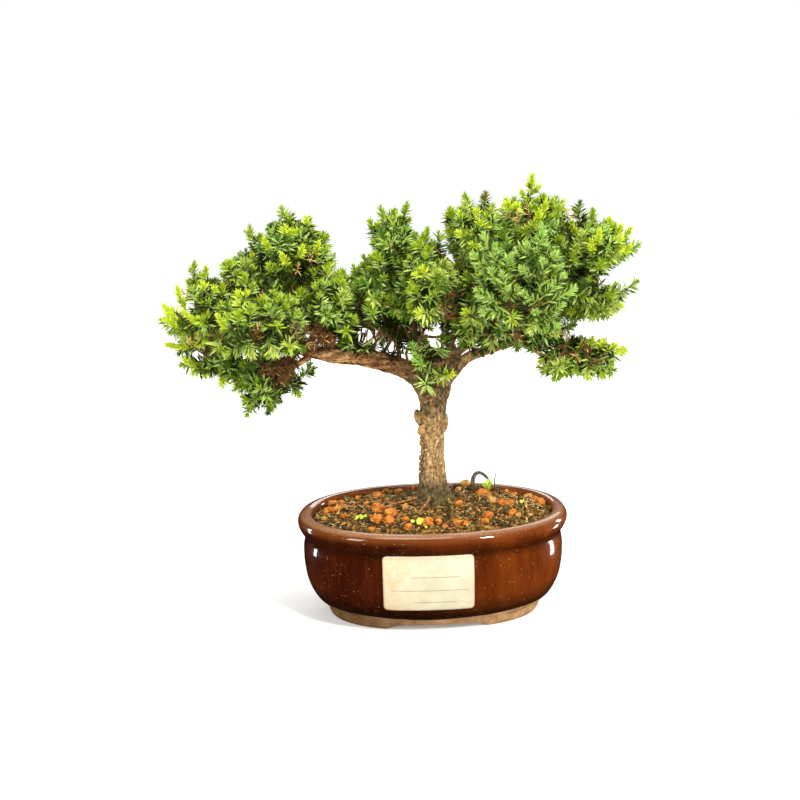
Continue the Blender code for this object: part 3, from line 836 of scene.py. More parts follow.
def layWeed(rng, blade):
    foot, length, width, count = litter["weed"]
    turns, places = [], []
    for number in range(count):
        turn = 2 * math.pi * (number + rng.uniform(-0.3, 0.3)) / count
        tilt = rng.uniform(0.2, 1.0)
        way = Vector((math.cos(turn) * math.sin(tilt), math.sin(turn) * math.sin(tilt), math.cos(tilt)))
        upper = Vector((-math.cos(turn) * math.cos(tilt), -math.sin(turn) * math.cos(tilt), math.sin(tilt)))
        turns.append(frameAlong(way, upper, length * rng.uniform(0.7, 1.1), width))
        places.append(foot)
    fresh = plainNoisy("young weed", (160, 196, 34), (222, 240, 90), 0.2, 1.0, 0.6)
    finishPiece("weed_blades", copies(blade, turns, places), [fresh, fresh], smooth=False)
    turns, places = [], []
    for x, y, size in litter["leaflets"]:
        tilt = Matrix.Rotation(rng.uniform(0.2, 0.9), 3, "X")
        tilt = tilt @ Matrix.Rotation(rng.uniform(-0.4, 0.4), 3, "Y")
        turns.append(np.array(tilt @ Matrix.Diagonal((size, size * 0.85, size * 0.3))))
        places.append((x, y, groundAt(x, y) + size * 0.45 + (1.6 if size > 4 else 0.4)))
    finishPiece("weed_leaflets", copies(stone(2, 0.45, 3), turns, places), [fresh])


def layLitter():
    rng = random.Random(litter["seed"])
    blade = needleTemplate()
    layStraws(rng, blade)
    rootSkin = plainNoisy("root skin", (104, 58, 30), (190, 140, 86), 0.5, 2.0)
    layStalks("surface_roots", litter["roots"], rootSkin)
    driedSkin = plainNoisy("dried leaf", (60, 56, 48), (132, 126, 112), 0.4, 2.0)
    layStalks("dried_leaf", litter["dried"], driedSkin)
    layWeed(rng, blade)


layLitter()
print("soil, crumbs, pebbles and litter laid")


# Trunk and boughs in one skin with the bark's relief

trunk = {
    "foot": (1.0, 5.0, 66.0), "sides": 40, "lobes": 5, "flareHeight": 12.0,
    # height, sideways, back, radius
    "line": [(-2.5, 0.0, 0.0, 10.6), (0.0, 0.0, 0.0, 9.9), (3.0, 0.0, 0.0, 9.2), (6.5, 0.0, 0.0, 8.8),
             (11.0, -0.2, 0.0, 8.5), (18.0, -0.4, 0.0, 8.1), (27.0, -0.2, -0.2, 7.6), (36.0, 0.2, -0.4, 7.3),
             (45.0, 0.8, -0.6, 7.4), (53.0, 1.2, -0.8, 7.6), (60.0, 1.3, -1.0, 8.0), (66.0, 1.6, -1.0, 8.6),
             (71.0, 1.8, -0.8, 8.2), (75.5, 2.0, -0.6, 6.4)],
}

limbs = {
    "left_bough": ([(1, 4, 131), (-5, 3, 139.5), (-14, 1, 146.5), (-34, -3, 153.5), (-58, -5, 157.5),
                    (-76, -4, 162), (-98, -3, 172)], 7.4, 2.8),
    "left_low_bough": ([(-68, -9, 157), (-74, -11, 154), (-90, -10, 144)], 2.2, 1.4),
    "right_bough": ([(4, 3, 132), (9, 2, 138), (15, 1, 145), (22, -1, 152), (33, -1, 156), (48, 0, 160),
                     (66, 2, 166)], 5.0, 1.8),
    "right_low_bough": ([(50, -1, 161), (57, -4, 159), (64, -7, 154), (71, -9, 149.5), (84, -9, 149)],
                        1.8, 1.2),
    "middle_bough": ([(1, 5, 138), (-2, 5, 150), (-6, 7, 160), (-10, 12, 176)], 5.0, 2.2),
    "inner_right_bough": ([(4, 7, 139), (11, 7, 152), (14, 4, 162), (20, -4, 178)], 3.2, 1.9),
    "back_left_bough": ([(-2, 7, 138), (-14, 12, 143.5), (-34, 21, 148.5), (-54, 29, 154), (-70, 34, 167),
                         (-84, 38, 184)], 3.4, 1.7),
    "back_right_bough": ([(5, 9, 138), (18, 18, 152), (38, 28, 164), (72, 42, 190)], 3.4, 1.7),
    "fork_twig": ([(-3, -2, 138), (-4, -10, 141), (-5, -22, 146)], 1.6, 1.0),
    "web_high": ([(-8, 4, 163), (-2, 2, 165), (6, 1, 164.5), (16, 0, 168)], 1.1, 0.9),
    "web_low": ([(1, 4, 156), (0, 3, 161), (-3, 2, 165), (-4, 2, 174)], 1.2, 0.8),
    "web_right": ([(12, 3, 160), (9, 2, 164), (8, 1, 172)], 1.2, 0.8),
}

knobs = [
    # middle, half sizes, turn about Y, unevenness: cut burrs, bark flap, knots, the stub in the fork
    ((-7.1, 2.6, 117.2), (2.3, 3.6, 4.9), -8, 0.12),
    ((-5.4, 0.6, 109.2), (2.3, 3.3, 3.0), 0, 0.3),
    ((9.2, 2.6, 113.0), (1.7, 3.2, 5.6), 6, 0.15),
    ((-15.0, -3.4, 146.6), (1.8, 1.6, 1.8), 0, 0.2),
    ((-37.5, -2.0, 158.2), (3.8, 3.0, 2.4), 10, 0.3),
    ((-42.0, -2.0, 159.6), (1.8, 1.8, 1.6), 0, 0.2),
    ((-6.6, 3.0, 159.0), (4.6, 3.6, 7.4), -8, 0.15),
    ((3.0, 5.5, 149.5), (7.2, 3.6, 8.0), 0, 0.3),
    ((12.5, 4.0, 154.0), (3.6, 3.2, 7.0), 16, 0.25),
    ((12.6, 0.0, 162.5), (2.6, 2.6, 3.6), 10, 0.25),
    ((-60.0, -4.0, 160.0), (2.8, 2.4, 2.0), 0, 0.3),
]

barkRelief = {
    "voxel": 0.46, "plate": 0.3, "crack": 0.4, "ripple": 0.3, "alongScale": 0.17, "aroundScale": 0.46,
    "ridgeFrom": Vector((-4.9, 0.0, 111.0)), "ridgeTo": Vector((0.9, 0.0, 97.0)), "ridgeHeight": 1.1,
    # how red the bark is: 0 on the trunk, 1 on the reddest bough
    "tones": {"left_bough": 1.0, "left_low_bough": 1.0, "right_bough": 0.35}, "tone": 0.5,
    # smooth cut burrs: middle, and the reach from plain bark to cut wood
    "burrs": [((-8.6, 3.0, 117.4), 5.2, 3.2), ((-6.6, 0.0, 109.0), 4.4, 2.6), ((10.4, 3.0, 113.4), 4.6, 2.4)],
}


def trunkLoft():
    shape = bmesh.new()
    ring = bmesh.ops.create_circle(shape, cap_ends=True, segments=trunk["sides"], radius=1.0)["verts"]
    angles = [math.atan2(vertex.co.y, vertex.co.x) for vertex in ring]
    knots = smoothLine([(height, aside, back) for height, aside, back, _ in trunk["line"]], 3)
    radii = smoothLine([(radius, 0, 0) for _, _, _, radius in trunk["line"]], 3)
    face = shape.faces[:]
    for number, (knot, radiusKnot) in enumerate(zip(knots, radii)):
        height, aside, back = knot
        flare = (1.0 - smoothStep(0.0, trunk["flareHeight"], height)) ** 2
        if number:
            made = bmesh.ops.extrude_face_region(shape, geom=face, use_keep_orig=(number == 1))
            ring = [item for item in made["geom"] if isinstance(item, bmesh.types.BMVert)]
            face = [item for item in made["geom"] if isinstance(item, bmesh.types.BMFace)]
            ring.sort(key=lambda vertex: math.atan2(vertex.co.y - middle.y, vertex.co.x - middle.x))
            angles = [math.atan2(vertex.co.y - middle.y, (vertex.co.x - middle.x) / widen) for vertex in ring]
        middle = Vector((trunk["foot"][0] + aside, trunk["foot"][1] + back, trunk["foot"][2] + height))
        widen = 1.0 + 0.22 * smoothStep(56.0, 70.0, height)
        for vertex, angle in zip(ring, angles):
            lobe = 0.5 + 0.5 * math.cos(trunk["lobes"] * angle + 0.9)
            reach = radiusKnot.x + 0.25 * math.sin(3 * angle + height * 0.11) + flare * (1.0 + 3.2 * lobe)
            vertex.co = middle + Vector((reach * math.cos(angle) * widen, reach * math.sin(angle), 0.0))
    bmesh.ops.recalc_face_normals(shape, faces=shape.faces)
    return shape


def spineSamples():
    # (point, direction, distance along, tone) at close steps along the trunk and the limbs
    samples = []
    tones = barkRelief["tones"]
    rows = [([(trunk["foot"][0] + aside, trunk["foot"][1] + back, trunk["foot"][2] + height)
              for height, aside, back, _ in trunk["line"]], 0.0)]
    rows += [(points, tones.get(name, barkRelief["tone"])) for name, (points, _, _) in limbs.items()]
    for points, tone in rows:
        line = smoothLine(points, 24)
        along = 0.0
        for before, after in zip(line, line[1:]):
            step = after - before
            along += step.length
            samples.append(((before + after) / 2, step.normalized(), along, tone))
    return samples


def barkSkin():
    shape = bmesh.new()
    shape.from_mesh(meshOf(trunkLoft()))
    for middle, halfSizes, turn, unevenness in knobs:
        size = Matrix.Diagonal([2 * half for half in halfSizes])
        spin = Matrix.Rotation(math.radians(turn), 3, "Y")
        stamp(shape, stone(3, unevenness, middle[2]), size, spin, Vector(middle))
    inFrame(shape)
    lines = []
    for points, start, end in limbs.values():
        line = smoothLine(points, 10)
        count = len(line) - 1
        wobble = [1.0 + 0.1 * noise.noise(point * 0.12) for point in line]
        widths = [(start + (end - start) * index / count) * bump for index, bump in enumerate(wobble)]
        lines.append((line, widths))
    shape.from_mesh(tubes("limbs", lines, 5))
    item = addItem("skin", meshOf(shape))
    remesh = item.modifiers.new("one skin", "REMESH")
    remesh.mode = "VOXEL"
    remesh.voxel_size = barkRelief["voxel"] * mm
    soften = item.modifiers.new("soften", "SMOOTH")
    soften.factor = 0.5
    soften.iterations = 5
    bpy.context.view_layer.update()
    return evaluatedMesh(item)


def makeBark():
    paint = Paint("bark", 0.88, Specular_IOR_Level=0.3)
    marks = {name: paint.wire("ShaderNodeAttribute", "Fac", attribute_name=name)
             for name in ("tone", "crackShade", "cut", "low")}
    patches, grain = paint.mottled(paint.spot(1, 1, 0.5), 0.6, 1.9, 2.6)
    tan = paint.ramp(patches, (0.1, (106, 80, 46)), (0.4, (156, 124, 80)), (0.7, (194, 160, 110)),
                     (0.95, (222, 192, 142)))
    redPatches, _ = paint.mottled(paint.spot(0.4, 1, 1), 0.3, 1.5, 2.8)
    red = paint.ramp(redPatches, (0.1, (74, 46, 22)), (0.4, (126, 86, 48)), (0.7, (172, 126, 76)),
                     (0.95, (212, 172, 120)))
    skin = paint.mix(marks["tone"], tan, red)
    skin = paint.mix(marks["cut"], skin, paint.ramp(grain, (0.2, (158, 112, 62)), (0.8, (214, 170, 108))))
    # this dark ramp is damp bark at the foot and painted shade in the fork
    skin = paint.mix(marks["low"], skin, paint.ramp(patches, (0.2, (54, 44, 22)), (0.8, (122, 106, 66))))
    fleck = paint.speckled(paint.spot(1, 1, 0.4), 1.9, 0.3, 0.4)
    skin = paint.mix(fleck * 0.3, skin, (110, 82, 46))
    # painted shade darkens the cracks and holes
    paint.look(Base_Color=paint.mix((marks["crackShade"] * 0.8).clamped(), skin, (52, 32, 14)))
    paint.relief(grain, 0.6, 0.35)
    return paint.material


def flakyEdge(place):
    # how much a point is in the flaky left edge below the burrs
    return (smoothStep(-1.0, -5.5, place.x) * smoothStep(80.0, 84.0, place.z)
            * smoothStep(107.0, 103.0, place.z) * smoothStep(30.0, 8.0, abs(place.x)))


def ridgeDistance(place):
    start, line = barkRelief["ridgeFrom"], barkRelief["ridgeTo"] - barkRelief["ridgeFrom"]
    flat = Vector((place.x, 0.0, place.z))
    share = min(max((flat - start).dot(line) / line.length_squared, 0.0), 1.0)
    return (flat - start - line * share).length + 4.0 * smoothStep(3.0, 6.0, place.y)


def barkAt(place, near, samples):
    # the relief at a point of the skin, and its marks: painted shade in cracks and holes, the red tone, the
    # cut wood, and the damp foot with the painted shade in the fork
    weight = [1.0 / (distance + 0.5) ** 2 for _, _, distance in near]
    middle, direction, along, _ = samples[near[0][1]]
    tone = sum(samples[row[1]][3] * share for row, share in zip(near, weight)) / sum(weight)
    away = place - middle
    away -= direction * away.dot(direction)
    spot = (away * barkRelief["aroundScale"] + direction * (along * barkRelief["alongScale"])
            + Vector((tone * 9.0, 0, 0)))
    distances, seeds = noise.voronoi(spot * 1.6)
    crack = 1.0 - smoothStep(0.0, 0.14, distances[1] - distances[0])
    plate = noise.cell(seeds[0] * 5.0)
    ripple = noise.noise(spot * 2.6) + 0.6 * noise.noise(spot * 6.0)
    height = barkRelief["plate"] * (plate - 0.5) - barkRelief["crack"] * crack
    height += barkRelief["ripple"] * ripple
    thin = smoothStep(1.0, 5.0, away.length)
    height *= 0.35 + 0.65 * thin
    flaky = flakyEdge(place)
    if flaky > 0:
        flake = noise.cell(Vector((place.x * 0.5, place.y * 0.35, place.z * 0.62)))
        height += flaky * (1.1 * flake - 0.7 - 1.2 * max(0.0, noise.noise(place * 0.55)))
    burr = max(smoothStep(far, close, (place - Vector(middle)).length)
               for middle, far, close in barkRelief["burrs"])
    height *= 1.0 - 0.75 * burr
    fromRidge = ridgeDistance(place)
    height += barkRelief["ridgeHeight"] * smoothStep(1.9, 0.4, fromRidge)
    cut = max(0.9 * burr, 0.35 * smoothStep(2.0, 0.5, fromRidge), 0.3 * flaky)
    # painted shade on the bark in the fork under the crown, and damp bark at the foot
    forkShade = (smoothStep(116.5, 120.0, place.z) * smoothStep(172.0, 160.0, place.z)
            * smoothStep(26.0, 14.0, abs(place.x - 4.0)))
    forkShade *= min(max(0.62 + 0.8 * noise.noise(place * 0.3), 0.1), 0.95)
    damp = smoothStep(84.0, 71.0, place.z + 0.35 * min(place.x, 0.0) + 4.0 * noise.noise(place * 0.25))
    holes = flaky * smoothStep(0.05, 0.3, noise.noise(place * 0.8))
    # painted shade: darker in the cracks, where the relief is low and in the holes of the flaky edge
    crackShade = min(1.0, max(0.0, crack * 0.8 * thin - ripple * 0.3 - height * 0.35, holes))
    return height, (crackShade, tone, cut, max(damp, forkShade))


def makeTrunkAndBoughs():
    mesh = barkSkin()
    samples = spineSamples()
    search = KDTree(len(samples))
    for index, (point, _, _, _) in enumerate(samples):
        search.insert(point, index)
    search.balance()
    moved = []
    marks = []
    normals = [vertex.normal.copy() for vertex in mesh.vertices]
    for vertex, normal in zip(mesh.vertices, normals):
        place = (vertex.co - potMiddle) / mm
        height, mark = barkAt(place, search.find_n(place, 3), samples)
        moved.append(vertex.co + normal * (height * mm))
        marks.append(mark)
    mesh.vertices.foreach_set("co", np.array(moved, np.float32).ravel())
    for name, values in zip(("crackShade", "tone", "cut", "low"), np.array(marks, np.float32).T):
        attribute = mesh.attributes.new(name, "FLOAT", "POINT")
        attribute.data.foreach_set("value", np.ascontiguousarray(values))
    mesh.update()
    piece = finishPiece("trunk_and_boughs", mesh, [makeBark()])
    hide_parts("trunk", *limbNames)
    print("bark has", sum(len(face.vertices) - 2 for face in mesh.polygons), "triangles")


makeTrunkAndBoughs()


# Sky seen through the crown: middle and half sizes in the photo's 800 by 800 pixels
openings = [
    (258, 276, 3, 3.5), (255, 296, 4, 5), (190, 308, 4.5, 8), (198, 356, 5, 6), (213, 373, 5, 3.5),
    (260, 323, 3, 2.5), (303, 380, 4, 2.5), (287, 396, 6, 9), (366, 336, 9, 9), (377, 340, 3.5, 4),
    (391, 347, 6, 6), (414, 326, 6, 5.5), (437, 342, 4.5, 6.5), (452, 333, 6, 2.5), (465, 353, 5, 6),
    (455, 363, 4.5, 2), (450, 370, 4, 3), (606, 280, 13, 5), (628, 271, 12, 8), (588, 331, 12, 5),
    (608, 331, 14, 8), (628, 328, 11, 12), (523, 364, 13, 13), (583, 267, 3, 2), (460, 315, 2, 3),
    (563, 352, 2.5, 2), (442, 252, 3.5, 3), (381, 253, 2, 1.5),
]


def photoSpots(points):
    # where points in millimetres fall in the photo, in pixels
    aside, up, ahead = cameraAxes()
    away = np.asarray(points) - np.array(camera["spot"])
    scale = camera["lens"] / camera["sensor"] * camera["pixels"] / (away @ np.array(ahead))
    centre = camera["pixels"] / 2
    return centre + scale * (away @ np.array(aside)), centre - scale * (away @ np.array(up))


def inOpening(points, ragged=0.0):
    across, down = photoSpots(points)
    found = np.zeros(len(across), bool)
    for x, y, wide, tall in openings:
        found |= ((across - x) / wide) ** 2 + ((down - y) / tall) ** 2 < 1.0 - ragged
    return found


# Growth: twigs spread from the boughs through every mass of foliage, by a seeded rule

growth = {
    "seed": 23, "step": 3.2, "reach": 34.0, "near": 5.5, "pull": 0.4, "rise": 0.12, "rounds": 70,
    "pointsPerMass": 46, "twigEnd": 0.42, "twigPower": 2.4, "twigLargest": 2.0,
}


class Mass:
    # one CAD mass of foliage in millimetres: its volume, its outer skin and its furthest tips
    def __init__(self, name):
        self.name = name
        shape = bmesh.new()
        shape.from_mesh(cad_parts[name].data)
        bmesh.ops.remove_doubles(shape, verts=shape.verts, dist=0.000001)
        for vertex in shape.verts:
            vertex.co = (vertex.co - potMiddle) / mm
        bmesh.ops.recalc_face_normals(shape, faces=shape.faces)
        self.tree = BVHTree.FromBMesh(shape)
        self.low = Vector([min(vertex.co[axis] for vertex in shape.verts) for axis in range(3)])
        self.high = Vector([max(vertex.co[axis] for vertex in shape.verts) for axis in range(3)])
        self.middle = sum((vertex.co for vertex in shape.verts), Vector()) / len(shape.verts)
        self.peaks = []
        for vertex in shape.verts:
            reach = (vertex.co - self.middle).length
            around = [(edge.other_vert(vertex).co - self.middle).length for edge in vertex.link_edges]
            if reach > max(around) * 1.09:
                self.peaks.append(vertex.co.copy())
        self.faces = [(face.calc_area(), [vertex.co.copy() for vertex in face.verts], face.normal.copy())
                      for face in shape.faces]
        shape.free()

    def holds(self, point):
        if any(part < low or part > high for part, low, high in zip(point, self.low, self.high)):
            return False
        direction = Vector((0.31, 0.47, 0.83))
        crossings = 0
        spot = self.tree.ray_cast(point, direction)[0]
        while spot:
            crossings += 1
            spot = self.tree.ray_cast(spot + direction * 0.0005, direction)[0]
        return crossings % 2 == 1


masses = [Mass(name) for name in massNames]


def crownHolds(point, but=None):
    return any(mass is not but and mass.holds(point) for mass in masses)


def attractors(rng):
    points = []
    for mass in masses:
        size = mass.high - mass.low
        wanted = max(12, int(growth["pointsPerMass"] * (size.x * size.y * size.z / 60000.0) ** 0.8))
        tries = 0
        found = 0
        while found < wanted and tries < wanted * 8:
            tries += 1
            point = Vector([rng.uniform(low, high) for low, high in zip(mass.low, mass.high)])
            inner = mass.middle + (point - mass.middle) * 1.22
            if mass.holds(inner):
                points.append(point)
                found += 1
    return np.array(points)


def growTwigs():
    rng = random.Random(growth["seed"])
    places = []
    parents = []
    heading = []
    rank = []            # 0 for a sample of a bough that has its own bark, 1 for a grown twig
    for name, (points, _, _) in limbs.items():
        line = smoothLine(points, 9)
        start = len(places)
        for index, point in enumerate(line):
            if index and (point - places[-1]).length < 2.0:
                continue
            before = len(places) - 1 if len(places) > start else -1
            direction = (point - places[before] if before >= 0 else line[1] - line[0]).normalized()
            places.append(point)
            parents.append(before)
            heading.append(direction)
            rank.append(0)
    allowed = [place.z > 149.0 or abs(place.x) > 20 for place in places]
    goals = attractors(rng)
    live = np.ones(len(goals), bool)
    nearest = np.full(len(goals), -1)
    distance = np.full(len(goals), 1e9)

    def meet(first):
        nonlocal nearest, distance
        fresh = np.array([places[index] for index in range(first, len(places))])
        usable = np.array([allowed[index] for index in range(first, len(places))])
        if not len(fresh):
            return
        gaps = np.linalg.norm(goals[:, None, :] - fresh[None, :, :], axis=2)
        gaps[:, ~usable] = 1e9
        best = gaps.argmin(1)
        least = gaps[np.arange(len(goals)), best]
        closer = least < distance
        nearest = np.where(closer, best + first, nearest)
        distance = np.where(closer, least, distance)

    meet(0)
    for _ in range(growth["rounds"]):
        live &= distance > growth["near"]
        if not live.any():
            break
        pulls = {}
        for goal in np.nonzero(live & (distance < growth["reach"]))[0]:
            pulls.setdefault(int(nearest[goal]), []).append(goal)
        if not pulls:
            closest = int(np.argmin(np.where(live, distance, 1e9)))
            pulls[int(nearest[closest])] = [closest]
        first = len(places)
        for node, wanted in pulls.items():
            toward = Vector()
            for goal in wanted:
                toward += (Vector(goals[goal]) - places[node]).normalized()
            if toward.length < 0.01:
                continue
            toward = toward.normalized() + heading[node] * growth["pull"] + Vector((0, 0, growth["rise"]))
            toward += Vector([rng.uniform(-0.22, 0.22) for _ in range(3)])
            toward.normalize()
            spot = places[node] + toward * growth["step"]
            if any((places[other] - spot).length < 0.9 for other in range(first, len(places))):
                continue
            if inOpening([spot])[0]:
                continue
            places.append(spot)
            parents.append(node)
            heading.append(toward)
            rank.append(1)
            allowed.append(True)
        if len(places) == first:
            break
        meet(first)
    loads = [0.0] * len(places)
    for index in range(len(places) - 1, -1, -1):
        if rank[index]:
            own = max(loads[index], growth["twigEnd"] ** growth["twigPower"])
            loads[index] = own
            loads[parents[index]] += own
    radii = [min(load ** (1 / growth["twigPower"]), growth["twigLargest"]) if load else growth["twigEnd"]
             for load in loads]
    return places, parents, heading, rank, radii


twigPlaces, twigParents, twigHeading, twigRank, twigRadii = growTwigs()
print("twigs grown through the crown,", len(twigPlaces), "points")


def twigLines():
    # chains from each fork to the next, thickest child going on
    children = {}
    for index, parent in enumerate(twigParents):
        if twigRank[index]:
            children.setdefault(parent, []).append(index)
    lines = []
    for parent, offspring in list(children.items()):
        ordered = sorted(offspring, key=lambda index: -twigRadii[index])
        starts = ordered if not twigRank[parent] else ordered[1:]
        for start in starts:
            chain = [parent, start]
            while children.get(chain[-1]):
                chain.append(max(children[chain[-1]], key=lambda index: twigRadii[index]))
            points = [twigPlaces[index] for index in chain]
            radii = [twigRadii[index] for index in chain]
            radii[0] = radii[1]
            lines.append((points, radii))
    return lines


# Shoots: sprays of three-needled whorls along a stem, in a few plain tints

tints = {
    # green side, paler upper face: the pale face is partly the needle's own pale band and partly painted
    # highlight
    "shade": ((32, 42, 6), (78, 90, 32)),
    "deep": ((58, 80, 10), (206, 224, 138)),
    "mid": ((90, 124, 20), (246, 254, 188)),
    "fresh": ((150, 176, 36), (248, 252, 186)),
    "silverHighlight": ((162, 192, 92), (248, 255, 208)),
    "blueDeep": ((84, 124, 40), (220, 244, 160)),
    "blue": ((140, 186, 74), (246, 255, 202)),
    "bright": ((196, 214, 54), (242, 250, 158)),
    "pale": ((172, 188, 86), (248, 252, 196)),
    "olive": ((132, 126, 40), (206, 196, 116)),
    "straw": ((206, 168, 104), (240, 216, 162)),
    "dead": ((108, 72, 32), (176, 130, 78)),
}
# tints of the older needles, darker partly with age and partly as painted shade inside the crown; of the
# darker needles among the others, painted shade; and of the lighter ones, painted highlight, of which the
# silver tint is the palest
elder = {"fresh": "mid", "mid": "deep", "bright": "mid", "pale": "mid", "olive": "deep", "blue": "blueDeep",
         "deep": "shade", "blueDeep": "deep"}
shadeTwin = {"fresh": "deep", "mid": "shade", "bright": "mid", "pale": "mid", "olive": "deep", "blue": "deep",
          "deep": "shade", "blueDeep": "shade", "silverHighlight": "blueDeep"}
highlightTwin = {"deep": "silverHighlight", "mid": "silverHighlight", "fresh": "pale", "blueDeep": "silverHighlight", "blue": "silverHighlight",
           "olive": "fresh", "dead": "straw"}

shoots = {
    "seed": 77, "spacing": 8.5, "inset": 1.2, "shortest": 13.0, "longest": 40.0, "leafy": 27.0,
    "budAngle": 24.0, "openAngle": 68.0, "oldAngle": 82.0, "openFrom": 6.5, "oldFrom": 18.0, "oldTint": 10.0,
    "budNeedle": 3.2, "needle": 7.1, "budStep": 0.62, "step": 1.0, "wide": 1.08, "jitter": 15.0, "roll": 70.0,
    "shortNeedle": 0.8, "dimShare": 0.37, "lightShare": 0.56, "green": 0.6, "oldTints": None,
    "strawShare": 0.008,
    "sideEvery": 5.2, "sideFrom": 7.0, "sideLength": (6.0, 12.0), "sideAngle": 46.0, "sides": True,
    "handSet": ["fork_tuft", "inner_tuft"], "brownShare": 0.75, "trunkTop": (1, 5, 150),
    "frontBare": {"right_front": -43.0, "right_low": -9.0},
}


def shootKind(tint, tipTint, tipLength, **others):
    # what a kind of shoot changes in the plain one
    return {"tint": tint, "tipTint": tipTint, "tipLength": tipLength, **others}


shootKinds = {
    "plume": shootKind("mid", "fresh", 5.0),
    "club": shootKind("mid", "fresh", 9.0, openFrom=9.0, needle=5.2, budStep=0.5),
    "bright": shootKind("fresh", "bright", 9.0, needle=4.4, openFrom=8.0, openAngle=50.0, budStep=0.45,
        step=0.9, wide=1.4, leafy=18.0, sides=False),
    "fat": shootKind("fresh", "bright", 13.0, needle=4.3, openFrom=11.0, openAngle=46.0, budStep=0.42,
        step=0.8, wide=1.6, leafy=20.0, sides=False),
    "leader": shootKind("mid", "bright", 13.0, needle=5.0, openFrom=14.0, leafy=30.0, budStep=0.45,
        step=1.0, wide=1.3),
    "star": shootKind("fresh", "fresh", 2.0, leafy=8.0, budNeedle=5.0, needle=9.6, budAngle=34.0,
        openAngle=86.0, openFrom=5.0, budStep=1.0, step=1.2, wide=0.95, jitter=18.0, shortNeedle=0.6,
        lightShare=0.4, sides=False),
    "paleStar": shootKind("fresh", "fresh", 2.0, leafy=8.0, budNeedle=4.0, needle=8.0, budAngle=30.0,
        openAngle=82.0, openFrom=5.0, wide=1.1, jitter=18.0, sides=False, shortNeedle=0.65, lightShare=0.4),
    "darkStar": shootKind("mid", "mid", 1.2, leafy=8.0, budNeedle=5.0, needle=8.0, budAngle=36.0,
        openAngle=78.0, openFrom=3.5, wide=1.1, sides=False),
    "forkStar": shootKind("mid", "pale", 1.5, leafy=9.0, budNeedle=6.0, needle=10.0, budAngle=40.0,
        openAngle=84.0, openFrom=4.0, budStep=0.9, step=1.2, wide=0.85, jitter=22.0, shortNeedle=0.6,
        sides=False),
    "droop": shootKind("mid", "pale", 4.0, leafy=11.0, budNeedle=5.0, needle=7.6, budAngle=24.0,
        openAngle=60.0, openFrom=5.0, wide=1.1, sides=False),
    "deep": shootKind("deep", "mid", 3.0),
    "onBough": shootKind("deep", "mid", 2.0, needle=5.2, green=0.2, sides=False),
    "olive": shootKind("olive", "fresh", 3.0),
    "paired": shootKind("pale", "fresh", 3.0, step=2.3, needle=8.4, openAngle=68.0, leafy=34.0,
        oldTint=40.0, wide=1.1, sides=False),
    "dead": shootKind("dead", "dead", 1.0, leafy=15.0, step=1.1, needle=5.8, wide=0.7, jitter=45.0,
        shortNeedle=0.5, dimShare=0.0, lightShare=0.16, green=0.0, sides=False),
    "straw": shootKind("straw", "straw", 1.0, leafy=5.0, budNeedle=3.4, needle=5.4, budAngle=24.0,
        openAngle=74.0, openFrom=4.0, budStep=1.1, step=1.4, wide=0.75, jitter=34.0, shortNeedle=0.5,
        sides=False),
    "yellow": shootKind("fresh", "bright", 3.0, openAngle=76.0, needle=7.0, leafy=21.0, oldTint=30.0,
        wide=1.1, sides=False),
    "blue": shootKind("blue", "blue", 2.0, leafy=22.0, needle=6.0, oldTint=16.0),
    "bluePlume": shootKind("blue", "silverHighlight", 3.5, leafy=44.0, oldTints="fresh", oldTint=24.0, needle=6.2,
        step=0.9, openAngle=46.0, green=1.0),
    "blueTuft": shootKind("blue", "silverHighlight", 4.0, leafy=15.0, needle=6.0, step=0.9, budStep=0.5,
        openAngle=44.0, oldTint=30.0, jitter=10.0, green=1.0, sides=False),
    "forkTuft": shootKind("blueDeep", "blue", 4.0, leafy=14.0, needle=6.0, step=0.9, openAngle=58.0,
        wide=0.85, oldTints="fresh", oldTint=12.0, sides=False),
    # dark shoots in the shade tint: painted shade in the crown over the fork
    "dim": shootKind("shade", "deep", 3.0, leafy=14.0, needle=6.4, green=0.0, sides=False),
    "lowTip": shootKind("mid", "bright", 6.0, leafy=16.0, needle=6.0, sides=False),
    "lowHang": shootKind("mid", "fresh", 4.0, leafy=14.0, needle=7.0, openAngle=62.0, oldTint=20.0,
        lightShare=0.35, sides=False),
    "rusty": shootKind("mid", "olive", 5.0, openFrom=9.0, needle=5.2),
    "arm": shootKind("mid", "fresh", 7.0, leafy=36.0, needle=7.4, openAngle=66.0, oldTint=28.0,
        sides=False),
}


